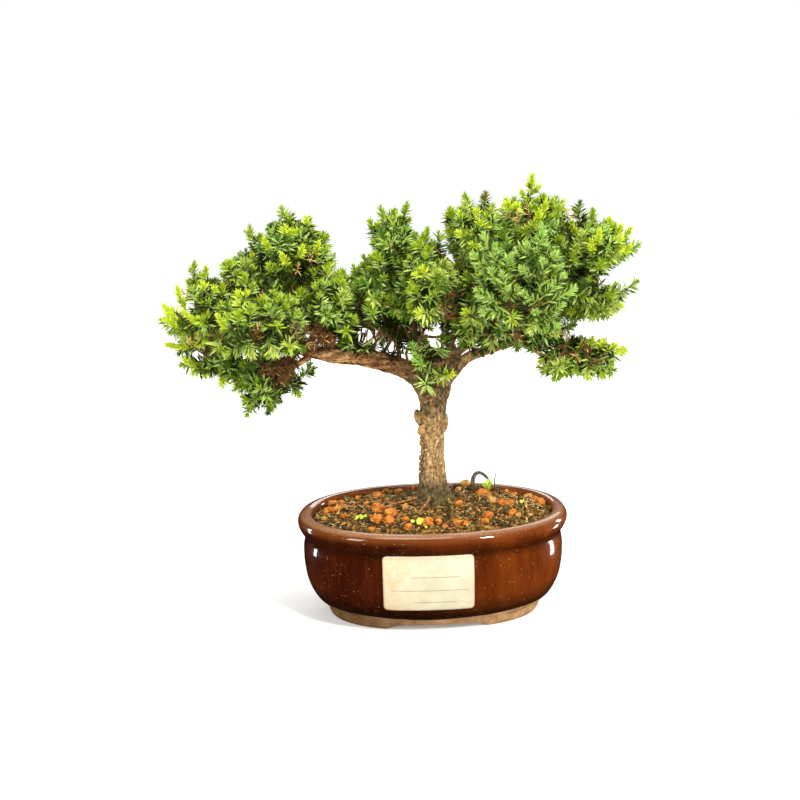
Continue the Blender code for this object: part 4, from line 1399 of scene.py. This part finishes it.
class Foliage:
    # gathers needles by tint, and the stems that carry them
    def __init__(self):
        self.origins = {kind: [] for kind in tints}
        self.turns = {kind: [] for kind in tints}
        self.stems = []
        self.woody = []

    def addShoot(self, points, rng, style):
        # points: base to tip; needles stand in whorls of three back from the tip
        line = np.array(points)
        spans = np.linalg.norm(np.diff(line, axis=0), axis=1)
        along = np.concatenate(([0.0], np.cumsum(spans)))
        total = along[-1]
        leafy = min(total, style["leafy"])
        backs = []
        back = 0.0
        while back < leafy:
            backs.append(back)
            share = min(back / style["openFrom"], 1.0)
            back += style["budStep"] + (style["step"] - style["budStep"]) * share
        backs = np.array(backs)
        where = total - backs
        centre = np.stack([np.interp(where, along, line[:, axis]) for axis in range(3)], 1)
        onward = np.minimum(where + 0.6, total)
        ahead = np.stack([np.interp(onward, along, line[:, axis]) for axis in range(3)], 1)
        behind = np.stack([np.interp(where - 0.6, along, line[:, axis]) for axis in range(3)], 1)
        axis = ahead - behind
        axis /= np.maximum(np.linalg.norm(axis, axis=1, keepdims=True), 1e-6)
        helper = np.array([0.3, -0.2, 0.93]) if abs(axis[0][2]) < 0.8 else np.array([0.9, 0.3, 0.1])
        first = np.cross(axis, helper)
        first /= np.linalg.norm(first, axis=1, keepdims=True)
        second = np.cross(axis, first)
        count = len(backs)
        opened = np.clip(backs / style["openFrom"], 0, 1) ** 0.8
        aged = np.clip((backs - style["oldFrom"]) / 8.0, 0, 1)
        angle = style["budAngle"] + (style["openAngle"] - style["budAngle"]) * opened
        angle = angle + (style["oldAngle"] - style["openAngle"]) * aged
        length = style["budNeedle"] + (style["needle"] - style["budNeedle"]) * np.clip(backs / 5.0, 0, 1)
        phase = rng.uniform(0, 2 * math.pi)
        chance = np.random.RandomState(rng.randrange(1 << 30))
        for turn in range(3):
            around = phase + np.arange(count) * (math.pi / 3) + turn * (2 * math.pi / 3)
            around = around + chance.uniform(-0.2, 0.2, count)
            lean = np.radians(angle + chance.uniform(-1, 1, count) * style["jitter"])
            outward = first * np.cos(around)[:, None] + second * np.sin(around)[:, None]
            direction = axis * np.cos(lean)[:, None] + outward * np.sin(lean)[:, None]
            upper = axis * np.sin(lean)[:, None] - outward * np.cos(lean)[:, None]
            side = np.cross(upper, direction)
            roll = np.radians(chance.uniform(-1, 1, count) * style["roll"])[:, None]
            turnedSide = side * np.cos(roll) + upper * np.sin(roll)
            upper = upper * np.cos(roll) - side * np.sin(roll)
            side = turnedSide
            size = length * chance.uniform(style["shortNeedle"], 1.14, count)
            wide = size * (1.0 + 0.25 * (1 - opened)) * style["wide"]
            turns = np.stack([direction * size[:, None], side * wide[:, None], upper * wide[:, None]], 2)
            tip = backs < style["tipLength"]
            old = backs > max(style["oldTint"] + chance.uniform(-2, 2), style["tipLength"])
            tips = centre + direction * size[:, None]
            kept = ~(inOpening(centre) | inOpening(tips, chance.uniform(0, 0.9, count)))
            tint = style["tint"]
            oldTint = style["oldTints"] or elder.get(tint, tint)
            # a share of the needles is painted darker, as shade, and a share lighter, as highlight
            draw = chance.uniform(0, 1, count)
            dim = ~tip & ~old & (draw < style["dimShare"])
            light = ~tip & ~old & (draw > 1 - style["lightShare"])
            plain = ~tip & ~old & ~dim & ~light
            for kind, rows in ((style["tipTint"], tip), (oldTint, old), (tint, plain),
                               (shadeTwin.get(tint, tint), dim), (highlightTwin.get(tint, tint), light)):
                rows = rows & kept
                if rows.any():
                    self.origins[kind].append(centre[rows])
                    self.turns[kind].append(turns[rows])
        radii = np.interp(along, [0, total], [0.55, 0.28]).tolist()
        woody = int((along < total + 0.1 - leafy * style["green"]).sum())
        if woody > 1:
            self.woody.append((points[:woody], radii[:woody]))
        if woody < len(points):
            self.stems.append((points[max(woody - 1, 0):], radii[max(woody - 1, 0):]))
        bare = total - style["leafy"]
        browns = style["tint"] not in ("dead", "blue", "blueDeep")
        if bare > 6.0 and browns and rng.random() < shoots["brownShare"]:
            back = style["leafy"] + rng.uniform(0.0, 3.0)
            brown = dict(style)
            brown.update(shootKinds["dead"])
            brown["leafy"] = min(bare - 2.0, 9.0)
            cut = [Vector(point) for point, at in zip(points, along) if at < total - back]
            if len(cut) > 2:
                self.addShoot(cut, rng, brown)


foliage = Foliage()

bareStems = [
    # points and the radii at both ends
    ([(-31, 0, 152), (-32, -2, 158), (-30, -3, 164), (-33, -4, 172)], 1.3, 0.7),
    ([(-26, 0, 151), (-26, -2, 157), (-22, -3, 163), (-21, -4, 171)], 1.4, 0.8),
    ([(-17, 0, 150), (-17, -1, 157), (-19, -2, 164), (-16, -3, 173)], 1.5, 0.8),
    ([(-12, -1, 150), (-13, -2, 156), (-10, -3, 163), (-13, -4, 171)], 1.3, 0.7),
    ([(-39, -1, 154), (-40, -2, 161), (-37, -3, 169)], 1.1, 0.6),
    ([(-19, -2, 163), (-23, -3, 166), (-28, -3, 171)], 0.8, 0.5),
    ([(-30, -3, 164), (-27, -4, 167), (-27, -4, 172)], 0.8, 0.5),
]
for bareLine, thick, thin in bareStems:
    bareCount = len(bareLine)
    foliage.woody.append(([Vector(point) for point in bareLine],
                          [thick + (thin - thick) * step / (bareCount - 1) for step in range(bareCount)]))


def bend(start, startWay, end, endWay, pieces=7):
    # a smooth stem from start to end, leaving along startWay and arriving along endWay
    gap = (end - start).length
    first = start + startWay * gap * 0.36
    second = end - endWay * gap * 0.36
    line = []
    for step in range(pieces + 1):
        share = step / pieces
        rest = 1 - share
        line.append(start * rest ** 3 + first * 3 * rest * rest * share
                    + second * 3 * rest * share * share + end * share ** 3)
    return line


def outerTargets(rng, taken):
    # spots on the crown's outer skin where a shoot ends, the furthest tips first, evenly apart
    found = []
    cells = {}
    spacing = shoots["spacing"]
    for point in taken:
        home = tuple(int(math.floor(part / 12.0)) for part in point)
        cells.setdefault(home, []).append(point)
    skinned = [mass for mass in masses if mass.name not in shoots["handSet"]]

    def free(point, apart):
        home = tuple(int(math.floor(part / 12.0)) for part in point)
        for x in (-1, 0, 1):
            for y in (-1, 0, 1):
                for z in (-1, 0, 1):
                    for other in cells.get((home[0] + x, home[1] + y, home[2] + z), ()):
                        if (other - point).length < apart:
                            return False
        return True

    def take(mass, point, normal, peak):
        home = tuple(int(math.floor(part / 12.0)) for part in point)
        cells.setdefault(home, []).append(point)
        found.append((mass, point, normal, peak))

    for mass in skinned:
        for peak in mass.peaks:
            normal = (peak - mass.middle).normalized()
            if free(peak, spacing * 0.6) and not crownHolds(peak + normal * 1.5, mass):
                take(mass, peak - normal * 0.8, normal, True)
    for mass in skinned:
        pool = []
        for area, corners, normal in mass.faces:
            for _ in range(max(1, int(area / 9.0))):
                one, two = rng.random(), rng.random()
                if one + two > 1:
                    one, two = 1 - one, 1 - two
                along, across = corners[1] - corners[0], corners[2] - corners[0]
                pool.append((corners[0] + along * one + across * two, normal))
        rng.shuffle(pool)
        for point, normal in pool:
            if not free(point, spacing):
                continue
            if crownHolds(point + normal * 2.2, mass) or point.y < shoots["frontBare"].get(mass.name, -1e9):
                continue
            take(mass, point - normal * shoots["inset"], normal, False)
    return found


def nodeSearch():
    usable = [index for index, place in enumerate(twigPlaces)
              if twigRank[index] or place.z > 150 or abs(place.x) > 24]
    search = KDTree(len(usable))
    for index in usable:
        search.insert(twigPlaces[index], index)
    search.balance()
    return search


# Shoots listed one by one where the photo shows them: tip and a point lower on the stem
featured = {
    "plume": [(-80, -4, 240, -74, 3, 221), (-66, 8, 233, -73, 13, 218), (-58, 5, 225, -63, 11, 210),
        (-53, 8, 212, -60, 12, 199), (-110, -13, 212, -109, -7, 196), (-100, -58, 190, -105, -53, 178),
        (-114, -14, 199, -114, -10, 186), (-48, -23, 202, -50, -17, 186), (-94, -58, 193, -95, -55, 185),
        (-70, -18, 196, -72, -13, 183), (-124, -32, 184, -123, -28, 174), (-101, -18, 205, -102, -14, 192),
        (-87, -20, 210, -86, -16, 197), (-31, 8, 231, -26, 13, 216), (-28, -20, 215, -24, -14, 199),
        (-47, -14, 205, -44, -9, 192), (7, -7, 224, 7, -2, 209), (-5, -28, 221, -3, -23, 208),
        (14, -4, 237, 16, 3, 217), (12, -16, 226, 16, -11, 215), (-22, -16, 190, -20, -11, 178),
        (-33, -21, 187, -28, -15, 176), (-8, -38, 198, -6, -34, 187), (13, -7, 236, 16, -2, 225),
        (21, -20, 202, 25, -15, 189), (54, -21, 226, 56, -17, 218), (42, -19, 222, 43, -16, 215),
        (73, -13, 220, 73, -9, 212), (94, -29, 208, 92, -24, 201), (80, -23, 212, 80, -19, 204),
        (38, -2, 238, 39, 2, 227), (73, -14, 237, 73, -10, 226)],
    "club": [(-99, 2, 230, -98, 8, 212), (-131, -1, 211, -130, 6, 189), (-25, -6, 239, -22, 1, 218),
        (-18, -5, 237, -18, 2, 216), (-10, 2, 240, -12, 9, 219), (-35, -2, 212, -30, 4, 195),
        (-41, -5, 207, -38, 0, 192), (0, -16, 227, 2, -10, 207), (23, 4, 244, 27, 8, 232),
        (94, -4, 234, 93, 1, 222)],
    "bright": [(-89, -14, 224, -88, -10, 215), (-60, -16, 221, -62, -12, 214),
        (-68, -22, 220, -72, -17, 209), (-79, -26, 216, -76, -21, 205), (-99, 5, 214, -105, 10, 201),
        (-125, 1, 208, -128, 6, 192), (-145, -24, 183, -136, -19, 175), (-138, -12, 158, -128, -6, 148),
        (18, -15, 235, 18, -11, 224), (92, -31, 224, 92, -26, 212), (88, -31, 219, 89, -27, 209),
        (81, -11, 228, 81, -7, 221)],
    "fat": [(-138, -19, 199, -138, -13, 181), (-145, -24, 190, -138, -18, 180),
        (-133, -32, 188, -127, -26, 177), (-149, 0, 165, -134, 6, 160), (-112, -50, 187, -109, -46, 178),
        (46, 2, 241, 46, 6, 233), (65, -18, 240, 64, -14, 232), (61, -21, 235, 61, -18, 228),
        (102, -10, 229, 104, -5, 218), (107, -15, 225, 106, -10, 216), (114, -8, 223, 110, -3, 214),
        (112, -16, 214, 108, -11, 207)],
    "star": [(-114, -37, 167, -113, -31, 172)],
    "paleStar": [(-82, -56, 183, -83, -52, 175), (-75, -52, 170, -75, -48, 174),
        (-46, -26, 174, -46, -22, 167), (41, -64, 182, 40, -61, 188)],
    "droop": [(23, -26, 168, 26, -20, 176), (34, -28, 164, 35, -22, 173), (26, -34, 178, 31, -28, 182),
        (-96, -54, 168, -98, -49, 177), (-85, -50, 167, -86, -45, 175), (52, -59, 177, 57, -55, 182),
        (71, -15, 168, 69, -9, 174), (87, -28, 145, 88, -20, 154)],
    "deep": [(18, -20, 163, 19, -14, 170), (29, -24, 163, 31, -18, 172), (41, -26, 163, 43, -20, 171),
        (48, -24, 160, 49, -18, 168), (14, -28, 178, 18, -22, 172), (-92, -12, 128, -90, -8, 138),
        (-100, -8, 130, -96, -4, 142), (-84, -8, 138, -80, -6, 146), (-98, -24, 138, -92, -18, 146),
        (-34, -10, 166, -36, -5, 159), (-46, -14, 166, -46, -8, 160), (42, -38, 218, 42, -32, 206),
        (44, -40, 210, 43, -34, 199), (42, -42, 201, 41, -36, 191), (40, -30, 225, 40, -26, 213),
        (-68, -10, 153, -70, -5, 142), (10, -8, 165, 9, -3, 151), (88, 4, 238, 86, 8, 230),
        (-14, -28, 200, -12, -23, 188), (-23, 4, 170, -20, 8, 178), (-14, 0, 169, -14, 5, 178),
        (-29, 14, 170, -26, 19, 178)],
    "onBough": [(-31, 3, 173, -31, 2, 161), (-24, 4, 172, -25, 2, 159), (-17, 6, 170, -18, 4, 157),
        (-38, 4, 174, -38, 1, 162), (-27, 0, 169, -29, -2, 159), (-45, 0, 174, -45, -2, 164),
        (-52, -2, 175, -52, -3, 165), (-14, 8, 172, -15, 6, 160), (-35, -6, 170, -35, -5, 161)],
    "darkStar": [(-76, 2, 139, -74, 6, 144), (-90, -18, 133, -93, -14, 138)],
    "olive": [(-106, -5, 124, -100, 3, 138), (-110, -20, 142, -102, -14, 147),
        (-91, -50, 196, -90, -46, 187), (-79, -50, 196, -78, -46, 186), (54, 11, 156, 58, 17, 161),
        (72, -8, 140, 76, -2, 149)],
    "paired": [(-56, -18, 207, -57, -10, 178)],
    "dead": [(-65, -28, 174, -62, -22, 168), (-60, -26, 177, -60, -20, 170),
        (-55, -24, 172, -58, -18, 166), (-70, -30, 170, -66, -24, 168), (-86, -24, 153, -83, -19, 157),
        (-92, -24, 148, -88, -19, 152), (-80, -20, 156, -80, -15, 160), (-82, -22, 147, -80, -17, 151),
        (-75, -18, 158, -76, -13, 162), (-56, -14, 170, -56, -8, 162), (-60, -20, 172, -60, -14, 164),
        (-34, -16, 176, -33, -10, 168), (-28, -18, 172, -27, -12, 168), (-66, -22, 170, -66, -16, 164),
        (30, -16, 167, 34, -10, 162), (-67, -44, 180, -64, -40, 172), (-62, -33, 180, -62, -29, 170),
        (-72, -50, 182, -70, -47, 176), (-90, -59, 183, -90, -55, 175), (-91, -21, 155, -87, -18, 151),
        (-84, -17, 152, -86, -13, 144), (-83, -21, 145, -81, -18, 149), (-97, -20, 158, -92, -17, 153),
        (-50, -7, 162, -50, -4, 158), (-87, -24, 144, -83, -21, 147), (6, -41, 188, 8, -36, 181),
        (12, -29, 184, 13, -25, 176), (-38, -8, 181, -37, -3, 174), (13, -30, 194, 10, -27, 190),
        (32, -29, 169, 38, -25, 166), (45, -59, 173, 42, -52, 168), (96, 22, 196, 95, 26, 189),
        (-73, -34, 175, -70, -27, 168), (-64, -36, 176, -63, -29, 169), (-58, -32, 172, -58, -25, 167),
        (-68, -34, 170, -67, -27, 166), (-78, -34, 172, -74, -28, 168), (-62, -30, 168, -62, -24, 165),
        (-53, -26, 168, -54, -20, 164), (-88, -32, 152, -84, -26, 154), (-94, -30, 153, -89, -25, 154),
        (-84, -28, 150, -81, -23, 153), (-80, -26, 148, -78, -21, 151), (-98, -42, 176, -94, -36, 170),
        (-104, -40, 178, -99, -35, 172)],
    "straw": [(-71, -22, 210, -73, -17, 202), (-64, -16, 215, -64, -13, 210),
        (-82, -13, 203, -81, -9, 198), (-112, -10, 202, -111, -7, 198), (-121, -27, 177, -122, -24, 171),
        (-89, -44, 198, -90, -41, 193), (-133, -24, 171, -132, -21, 167), (67, -1, 155, 62, 3, 158),
        (74, -18, 150, 74, -14, 154), (91, -18, 149, 90, -14, 153), (83, -22, 153, 82, -18, 156),
        (79, -8, 163, 77, -6, 166), (45, -10, 234, 49, -7, 231), (50, -16, 233, 49, -13, 229),
        (56, -14, 238, 57, -11, 234), (79, -4, 234, 79, -1, 230)],
    "yellow": [(-7, -42, 185, 7, -37, 177), (19, -36, 184, 27, -29, 168), (20, -36, 184, 28, -31, 174),
        (11, -31, 149, 4, -20, 144)],
    "blue": [(33, -56, 220, 37, -50, 202), (83, -10, 190, 76, -4, 178), (30, -22, 213, 31, -19, 205)],
    "blueTuft": [(22, -58, 216, 30, -54, 206), (23, -62, 198, 33, -54, 190), (26, -60, 187, 36, -53, 181),
        (41, -58, 215, 34, -54, 203), (44, -60, 198, 38, -54, 186), (49, -58, 220, 56, -53, 208),
        (46, -63, 209, 57, -54, 197), (47, -62, 196, 58, -54, 186), (64, -56, 215, 58, -53, 203),
        (68, -58, 204, 60, -53, 191), (74, -54, 197, 63, -51, 187), (67, -60, 189, 60, -53, 179),
        (36, -62, 206, 37, -55, 192), (57, -62, 212, 58, -55, 198), (53, -62, 186, 57, -55, 178),
        (31, -60, 208, 33, -54, 196), (66, -50, 208, 61, -46, 196)],
    "forkTuft": [(-10, -27, 165, -7, -16, 154), (-6, -31, 156, -5, -19, 147), (-9, -30, 160, -6, -18, 151)],
    "forkStar": [(-3, -31, 142.5, -5, -27, 147)],
    # dark shoots in the shade tint, painted shade over the fork
    "dim": [(-16, 0, 167, -15, 2, 177), (-12, 0, 164, -12, 3, 174), (-15, -3, 158, -15, 0, 167),
        (-11, -4, 160, -11, -1, 169), (-20, -2, 158, -19, 1, 167), (-25, -4, 171, -24, 0, 179),
        (-21, 4, 168, -19, 6, 177), (-31, 0, 157, -30, 3, 166), (-28, 4, 164, -27, 6, 172),
        (26, -4, 155, 25, 0, 164), (31, -5, 155, 30, 0, 164), (36, -8, 157, 35, -3, 166),
        (42, -12, 160, 41, -6, 168), (21, -3, 160, 22, 1, 168), (4, -10, 174, 5, -5, 184),
        (-1, -14, 179, 1, -9, 188), (10, -6, 168, 10, -2, 178), (-6, -4, 170, -6, 0, 180),
        (-40, -8, 166, -40, -4, 174), (-48, -10, 168, -47, -6, 176), (-35, -6, 167, -35, -2, 176),
        (-43, -2, 164, -42, 2, 173), (-38, 0, 161, -37, 3, 170), (-20, -6, 166, -20, -2, 175),
        (-26, 2, 162, -25, 5, 171), (-9, -6, 168, -9, -2, 177)],
    "leader": [(60.5, 0, 253.5, 60, 6, 236)],
    "rusty": [(34, -2, 245, 35, 2, 236)],
    "arm": [(103, -18, 189, 83, -10, 178), (120, -1, 193, 100, 9, 177), (112, -5, 154, 103, 1, 150)],
    "bluePlume": [(27, -58, 226, 38, -53, 188), (57, -54, 229, 59, -51, 188), (62, -20, 225, 65, -14, 204)],
    "lowTip": [(111, -12, 156, 99, -9, 154), (93, -10, 162, 92, -7, 154), (99, -14, 161, 97, -9, 154),
        (105, -16, 159, 101, -11, 154), (88, -8, 160, 86, -4, 154)],
    "lowHang": [(71, -14, 141, 75, -8, 151), (74, -22, 145, 77, -14, 152), (63, -14, 151, 70, -6, 155),
        (90, -16, 142, 91, -10, 151), (97, -20, 143, 95, -13, 152), (81, -24, 147, 83, -15, 153),
        (103, -14, 147, 99, -11, 154), (67, -10, 147, 72, -6, 154), (85, -18, 145, 87, -11, 152),
        (78, -12, 143, 80, -8, 151)],
}


tintRules = {
    # mass: (tint of the shoots with weights, share of shoots with bright tips)
    "default": ({"deep": 0.3, "mid": 0.5, "fresh": 0.2}, 0.35),
    "left_outer": ({"mid": 0.45, "fresh": 0.4, "deep": 0.15}, 0.65),
    "left_front": ({"mid": 0.5, "olive": 0.12, "deep": 0.18, "fresh": 0.1, "pale": 0.1}, 0.12),
    "left_crown": ({"mid": 0.6, "fresh": 0.1, "deep": 0.15, "pale": 0.15}, 0.3),
    "left_top": ({"mid": 0.5, "blueDeep": 0.2, "deep": 0.15, "pale": 0.15}, 0.3),
    "left_inner": ({"mid": 0.45, "pale": 0.15, "deep": 0.4}, 0.08),
    "left_low": ({"deep": 0.3, "mid": 0.5, "blueDeep": 0.2}, 0.05),
    "left_tip_low": ({"deep": 0.35, "mid": 0.45, "fresh": 0.2}, 0.4),
    "centre_top": ({"mid": 0.45, "blueDeep": 0.3, "pale": 0.25}, 0.1),
    "centre_left": ({"mid": 0.4, "blueDeep": 0.3, "deep": 0.15, "pale": 0.15}, 0.06),
    "centre_mid": ({"mid": 0.4, "blueDeep": 0.3, "deep": 0.15, "pale": 0.15}, 0.06),
    "centre_low": ({"deep": 0.8, "mid": 0.2}, 0.0),
    "right_front": ({"blueDeep": 0.42, "deep": 0.18, "blue": 0.4}, 0.08),
    "right_top": ({"mid": 0.24, "pale": 0.32, "silverHighlight": 0.3, "fresh": 0.14}, 0.28),
    "right_top_left": ({"mid": 0.36, "deep": 0.1, "pale": 0.32, "silverHighlight": 0.22}, 0.24),
    "right_far_top": ({"mid": 0.3, "pale": 0.34, "fresh": 0.16, "silverHighlight": 0.2}, 0.3),
    "right_far": ({"mid": 0.26, "pale": 0.33, "fresh": 0.21, "silverHighlight": 0.2}, 0.26),
    "right_low": ({"mid": 0.4, "fresh": 0.2, "pale": 0.2, "deep": 0.2}, 0.2),
    "right_inner": ({"mid": 0.45, "deep": 0.4, "fresh": 0.15}, 0.15),
}


def pick(rng, weights):
    total = sum(weights.values())
    spot = rng.uniform(0, total)
    for name, weight in weights.items():
        spot -= weight
        if spot <= 0:
            return name
    return name


def styleFor(rng, mass, upward, peak):
    weights, brightShare = tintRules.get(mass.name, tintRules["default"])
    tint = pick(rng, weights)
    # painted shade: some shoots that face downward take the deep tint
    if upward < -0.35 and tint in ("mid", "fresh") and rng.random() < 0.35:
        tint = "deep"
    bright = rng.random() < brightShare * (1.25 if peak else 0.75) * (1.0 if upward > 0.1 else 0.4)
    softer = {"deep": "mid", "mid": "fresh", "olive": "fresh"}
    tipTint = "bright" if bright else softer.get(tint, tint)
    style = dict(shoots)
    if upward > 0 and rng.random() < shoots["strawShare"]:
        style.update(shootKinds["straw"])
        return style
    style.update(tint=tint, tipTint=tipTint, tipLength=rng.uniform(*((3.0, 6.5) if bright else (1.0, 3.0))))
    return style


def stemTo(search, target, arrive, wanted):
    # a stem to the target from the grown twig that suits it best
    best, cost = None, 1e9
    for place, index, distance in search.find_range(target, shoots["longest"]):
        if distance < shoots["shortest"]:
            continue
        along = (target - place) / distance
        price = abs(distance - wanted) * 0.5 + 16.0 * (1 - along.dot(arrive))
        price += 0 if twigRank[index] else 2.0
        if price < cost:
            best, cost = index, price
    if best is None:
        place, best, distance = search.find(target - arrive * 16.0)
    start = twigPlaces[best]
    leave = (twigHeading[best] * 0.5 + (target - start).normalized()).normalized()
    return bend(start, leave, target, arrive)


def growFeatured(rng, search):
    taken = []
    for kind, rows in featured.items():
        for row in rows:
            tip, base = Vector(row[:3]), Vector(row[3:])
            arrive = (tip - base).normalized()
            if kind.lower().endswith("star"):
                arrive = (arrive * 0.35 + Vector((-0.05, -1.0, 0.15))).normalized()
            style = dict(shoots)
            style.update(shootKinds[kind])
            line = stemTo(search, tip, arrive, (tip - base).length + 8.0)
            foliage.addShoot(line, rng, style)
            if style["sides"]:
                addSideShoots(line, rng, style, None)
            back = 0.0
            while back < min(style["leafy"], 20.0):
                taken.append(pointBack(line, back)[0])
                back += 6.0
    return taken


def growShoots():
    rng = random.Random(shoots["seed"])
    search = nodeSearch()
    targets = outerTargets(rng, growFeatured(rng, search))
    trunkTop = Vector(shoots["trunkTop"])
    made = 0
    for mass, target, normal, peak in targets:
        if inOpening([target])[0]:
            continue
        away = target - trunkTop
        away.z *= 0.5
        away.normalize()
        lift = 0.55 if normal.z > -0.4 else 0.12
        arrive = (normal * 0.75 + away * 0.35 + Vector((0, 0, lift))
                  + Vector([rng.uniform(-0.18, 0.18) for _ in range(3)])).normalized()
        line = stemTo(search, target, arrive, 24.0)
        if inOpening(line).any():
            continue
        style = styleFor(rng, mass, normal.z, peak)
        foliage.addShoot(line, rng, style)
        made += 1
        if style["sides"]:
            addSideShoots(line, rng, style, mass)
    print(made, "sprays on the crown's skin")


def addSideShoots(line, rng, style, mass):
    lengths = [(b - a).length for a, b in zip(line, line[1:])]
    total = sum(lengths)
    back = shoots["sideFrom"] + rng.uniform(-1, 1.5)
    turn = rng.uniform(0, 2 * math.pi)
    while back < min(total - 3.0, shoots["leafy"] - 3.0):
        place, direction = pointBack(line, back)
        side = direction.orthogonal().normalized()
        side.rotate(Matrix.Rotation(turn, 3, direction))
        angle = math.radians(shoots["sideAngle"] + rng.uniform(-10, 10))
        way = (direction * math.cos(angle) + side * math.sin(angle) + Vector((0, 0, 0.15))).normalized()
        low, high = shoots["sideLength"]
        length = min(rng.uniform(low, high), back * 0.95)
        end = place + way * length
        arrive = (way + direction * 0.5).normalized()
        if not (mass and mass.holds(end)) and not crownHolds(end):
            length *= 0.6
            end = place + way * length
        if length > 3.5 and not inOpening([end])[0]:
            small = dict(style)
            small["leafy"] = length
            small["needle"] = style["needle"] * 0.92
            small["tipLength"] = min(style["tipLength"], length * 0.5)
            foliage.addShoot(bend(place, way, end, arrive, 4), rng, small)
        back += shoots["sideEvery"] * rng.uniform(0.7, 1.3)
        turn += math.pi * rng.uniform(0.75, 1.25)


def pointBack(line, back):
    # the place and direction that far back from a line's tip
    for before, after in zip(reversed(line[:-1]), reversed(line[1:])):
        span = (after - before).length
        if back <= span:
            way = (after - before) / span
            return after - way * back, way
        back -= span
    return line[0], (line[1] - line[0]).normalized()


growShoots()


def makeNeedleTint(kind):
    # the needle's side and its paler upper face, partly its own pale band and partly painted highlight
    return [Paint("needle " + kind + " " + label, 0.5, Specular_IOR_Level=0.4, Base_Color=color).material
            for label, color in zip(("side", "upper"), tints[kind])]


def joinNeedles():
    template = needleTemplate()
    perNeedle = len(template.polygons)
    largest = 190000 // perNeedle
    total = 0
    for kind in tints:
        if not foliage.origins[kind]:
            continue
        origins = np.concatenate(foliage.origins[kind])
        turns = np.concatenate(foliage.turns[kind])
        materials = makeNeedleTint(kind)
        parts = math.ceil(len(origins) / largest)
        for part in range(parts):
            rows = slice(part * len(origins) // parts, (part + 1) * len(origins) // parts)
            mesh = copies(template, turns[rows], origins[rows])
            name = "needles_" + kind + ("_" + str(part + 1) if parts > 1 else "")
            piece = finishPiece(name, mesh, materials, smooth=False)
            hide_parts(*massNames)
        total += len(origins)
        print("needles", kind, len(origins))
    print("needles in all", total, "triangles", total * perNeedle)


joinNeedles()

twigWood = plainNoisy("twig wood", (60, 40, 16), (124, 88, 44), 0.5, 2.0, 0.85, 0.5, 0.3)
greenStem = plainNoisy("young stem", (110, 116, 30), (186, 184, 60), 0.6, 2.0, 0.7, 0.3, 0.2)
finishPiece("twigs", tubes("twigs", twigLines(), 1), [twigWood])
finishPiece("woody_stems", tubes("woody_stems", foliage.woody, 0), [twigWood])
finishPiece("young_stems", tubes("young_stems", foliage.stems, 0), [greenStem])
print("crown finished")
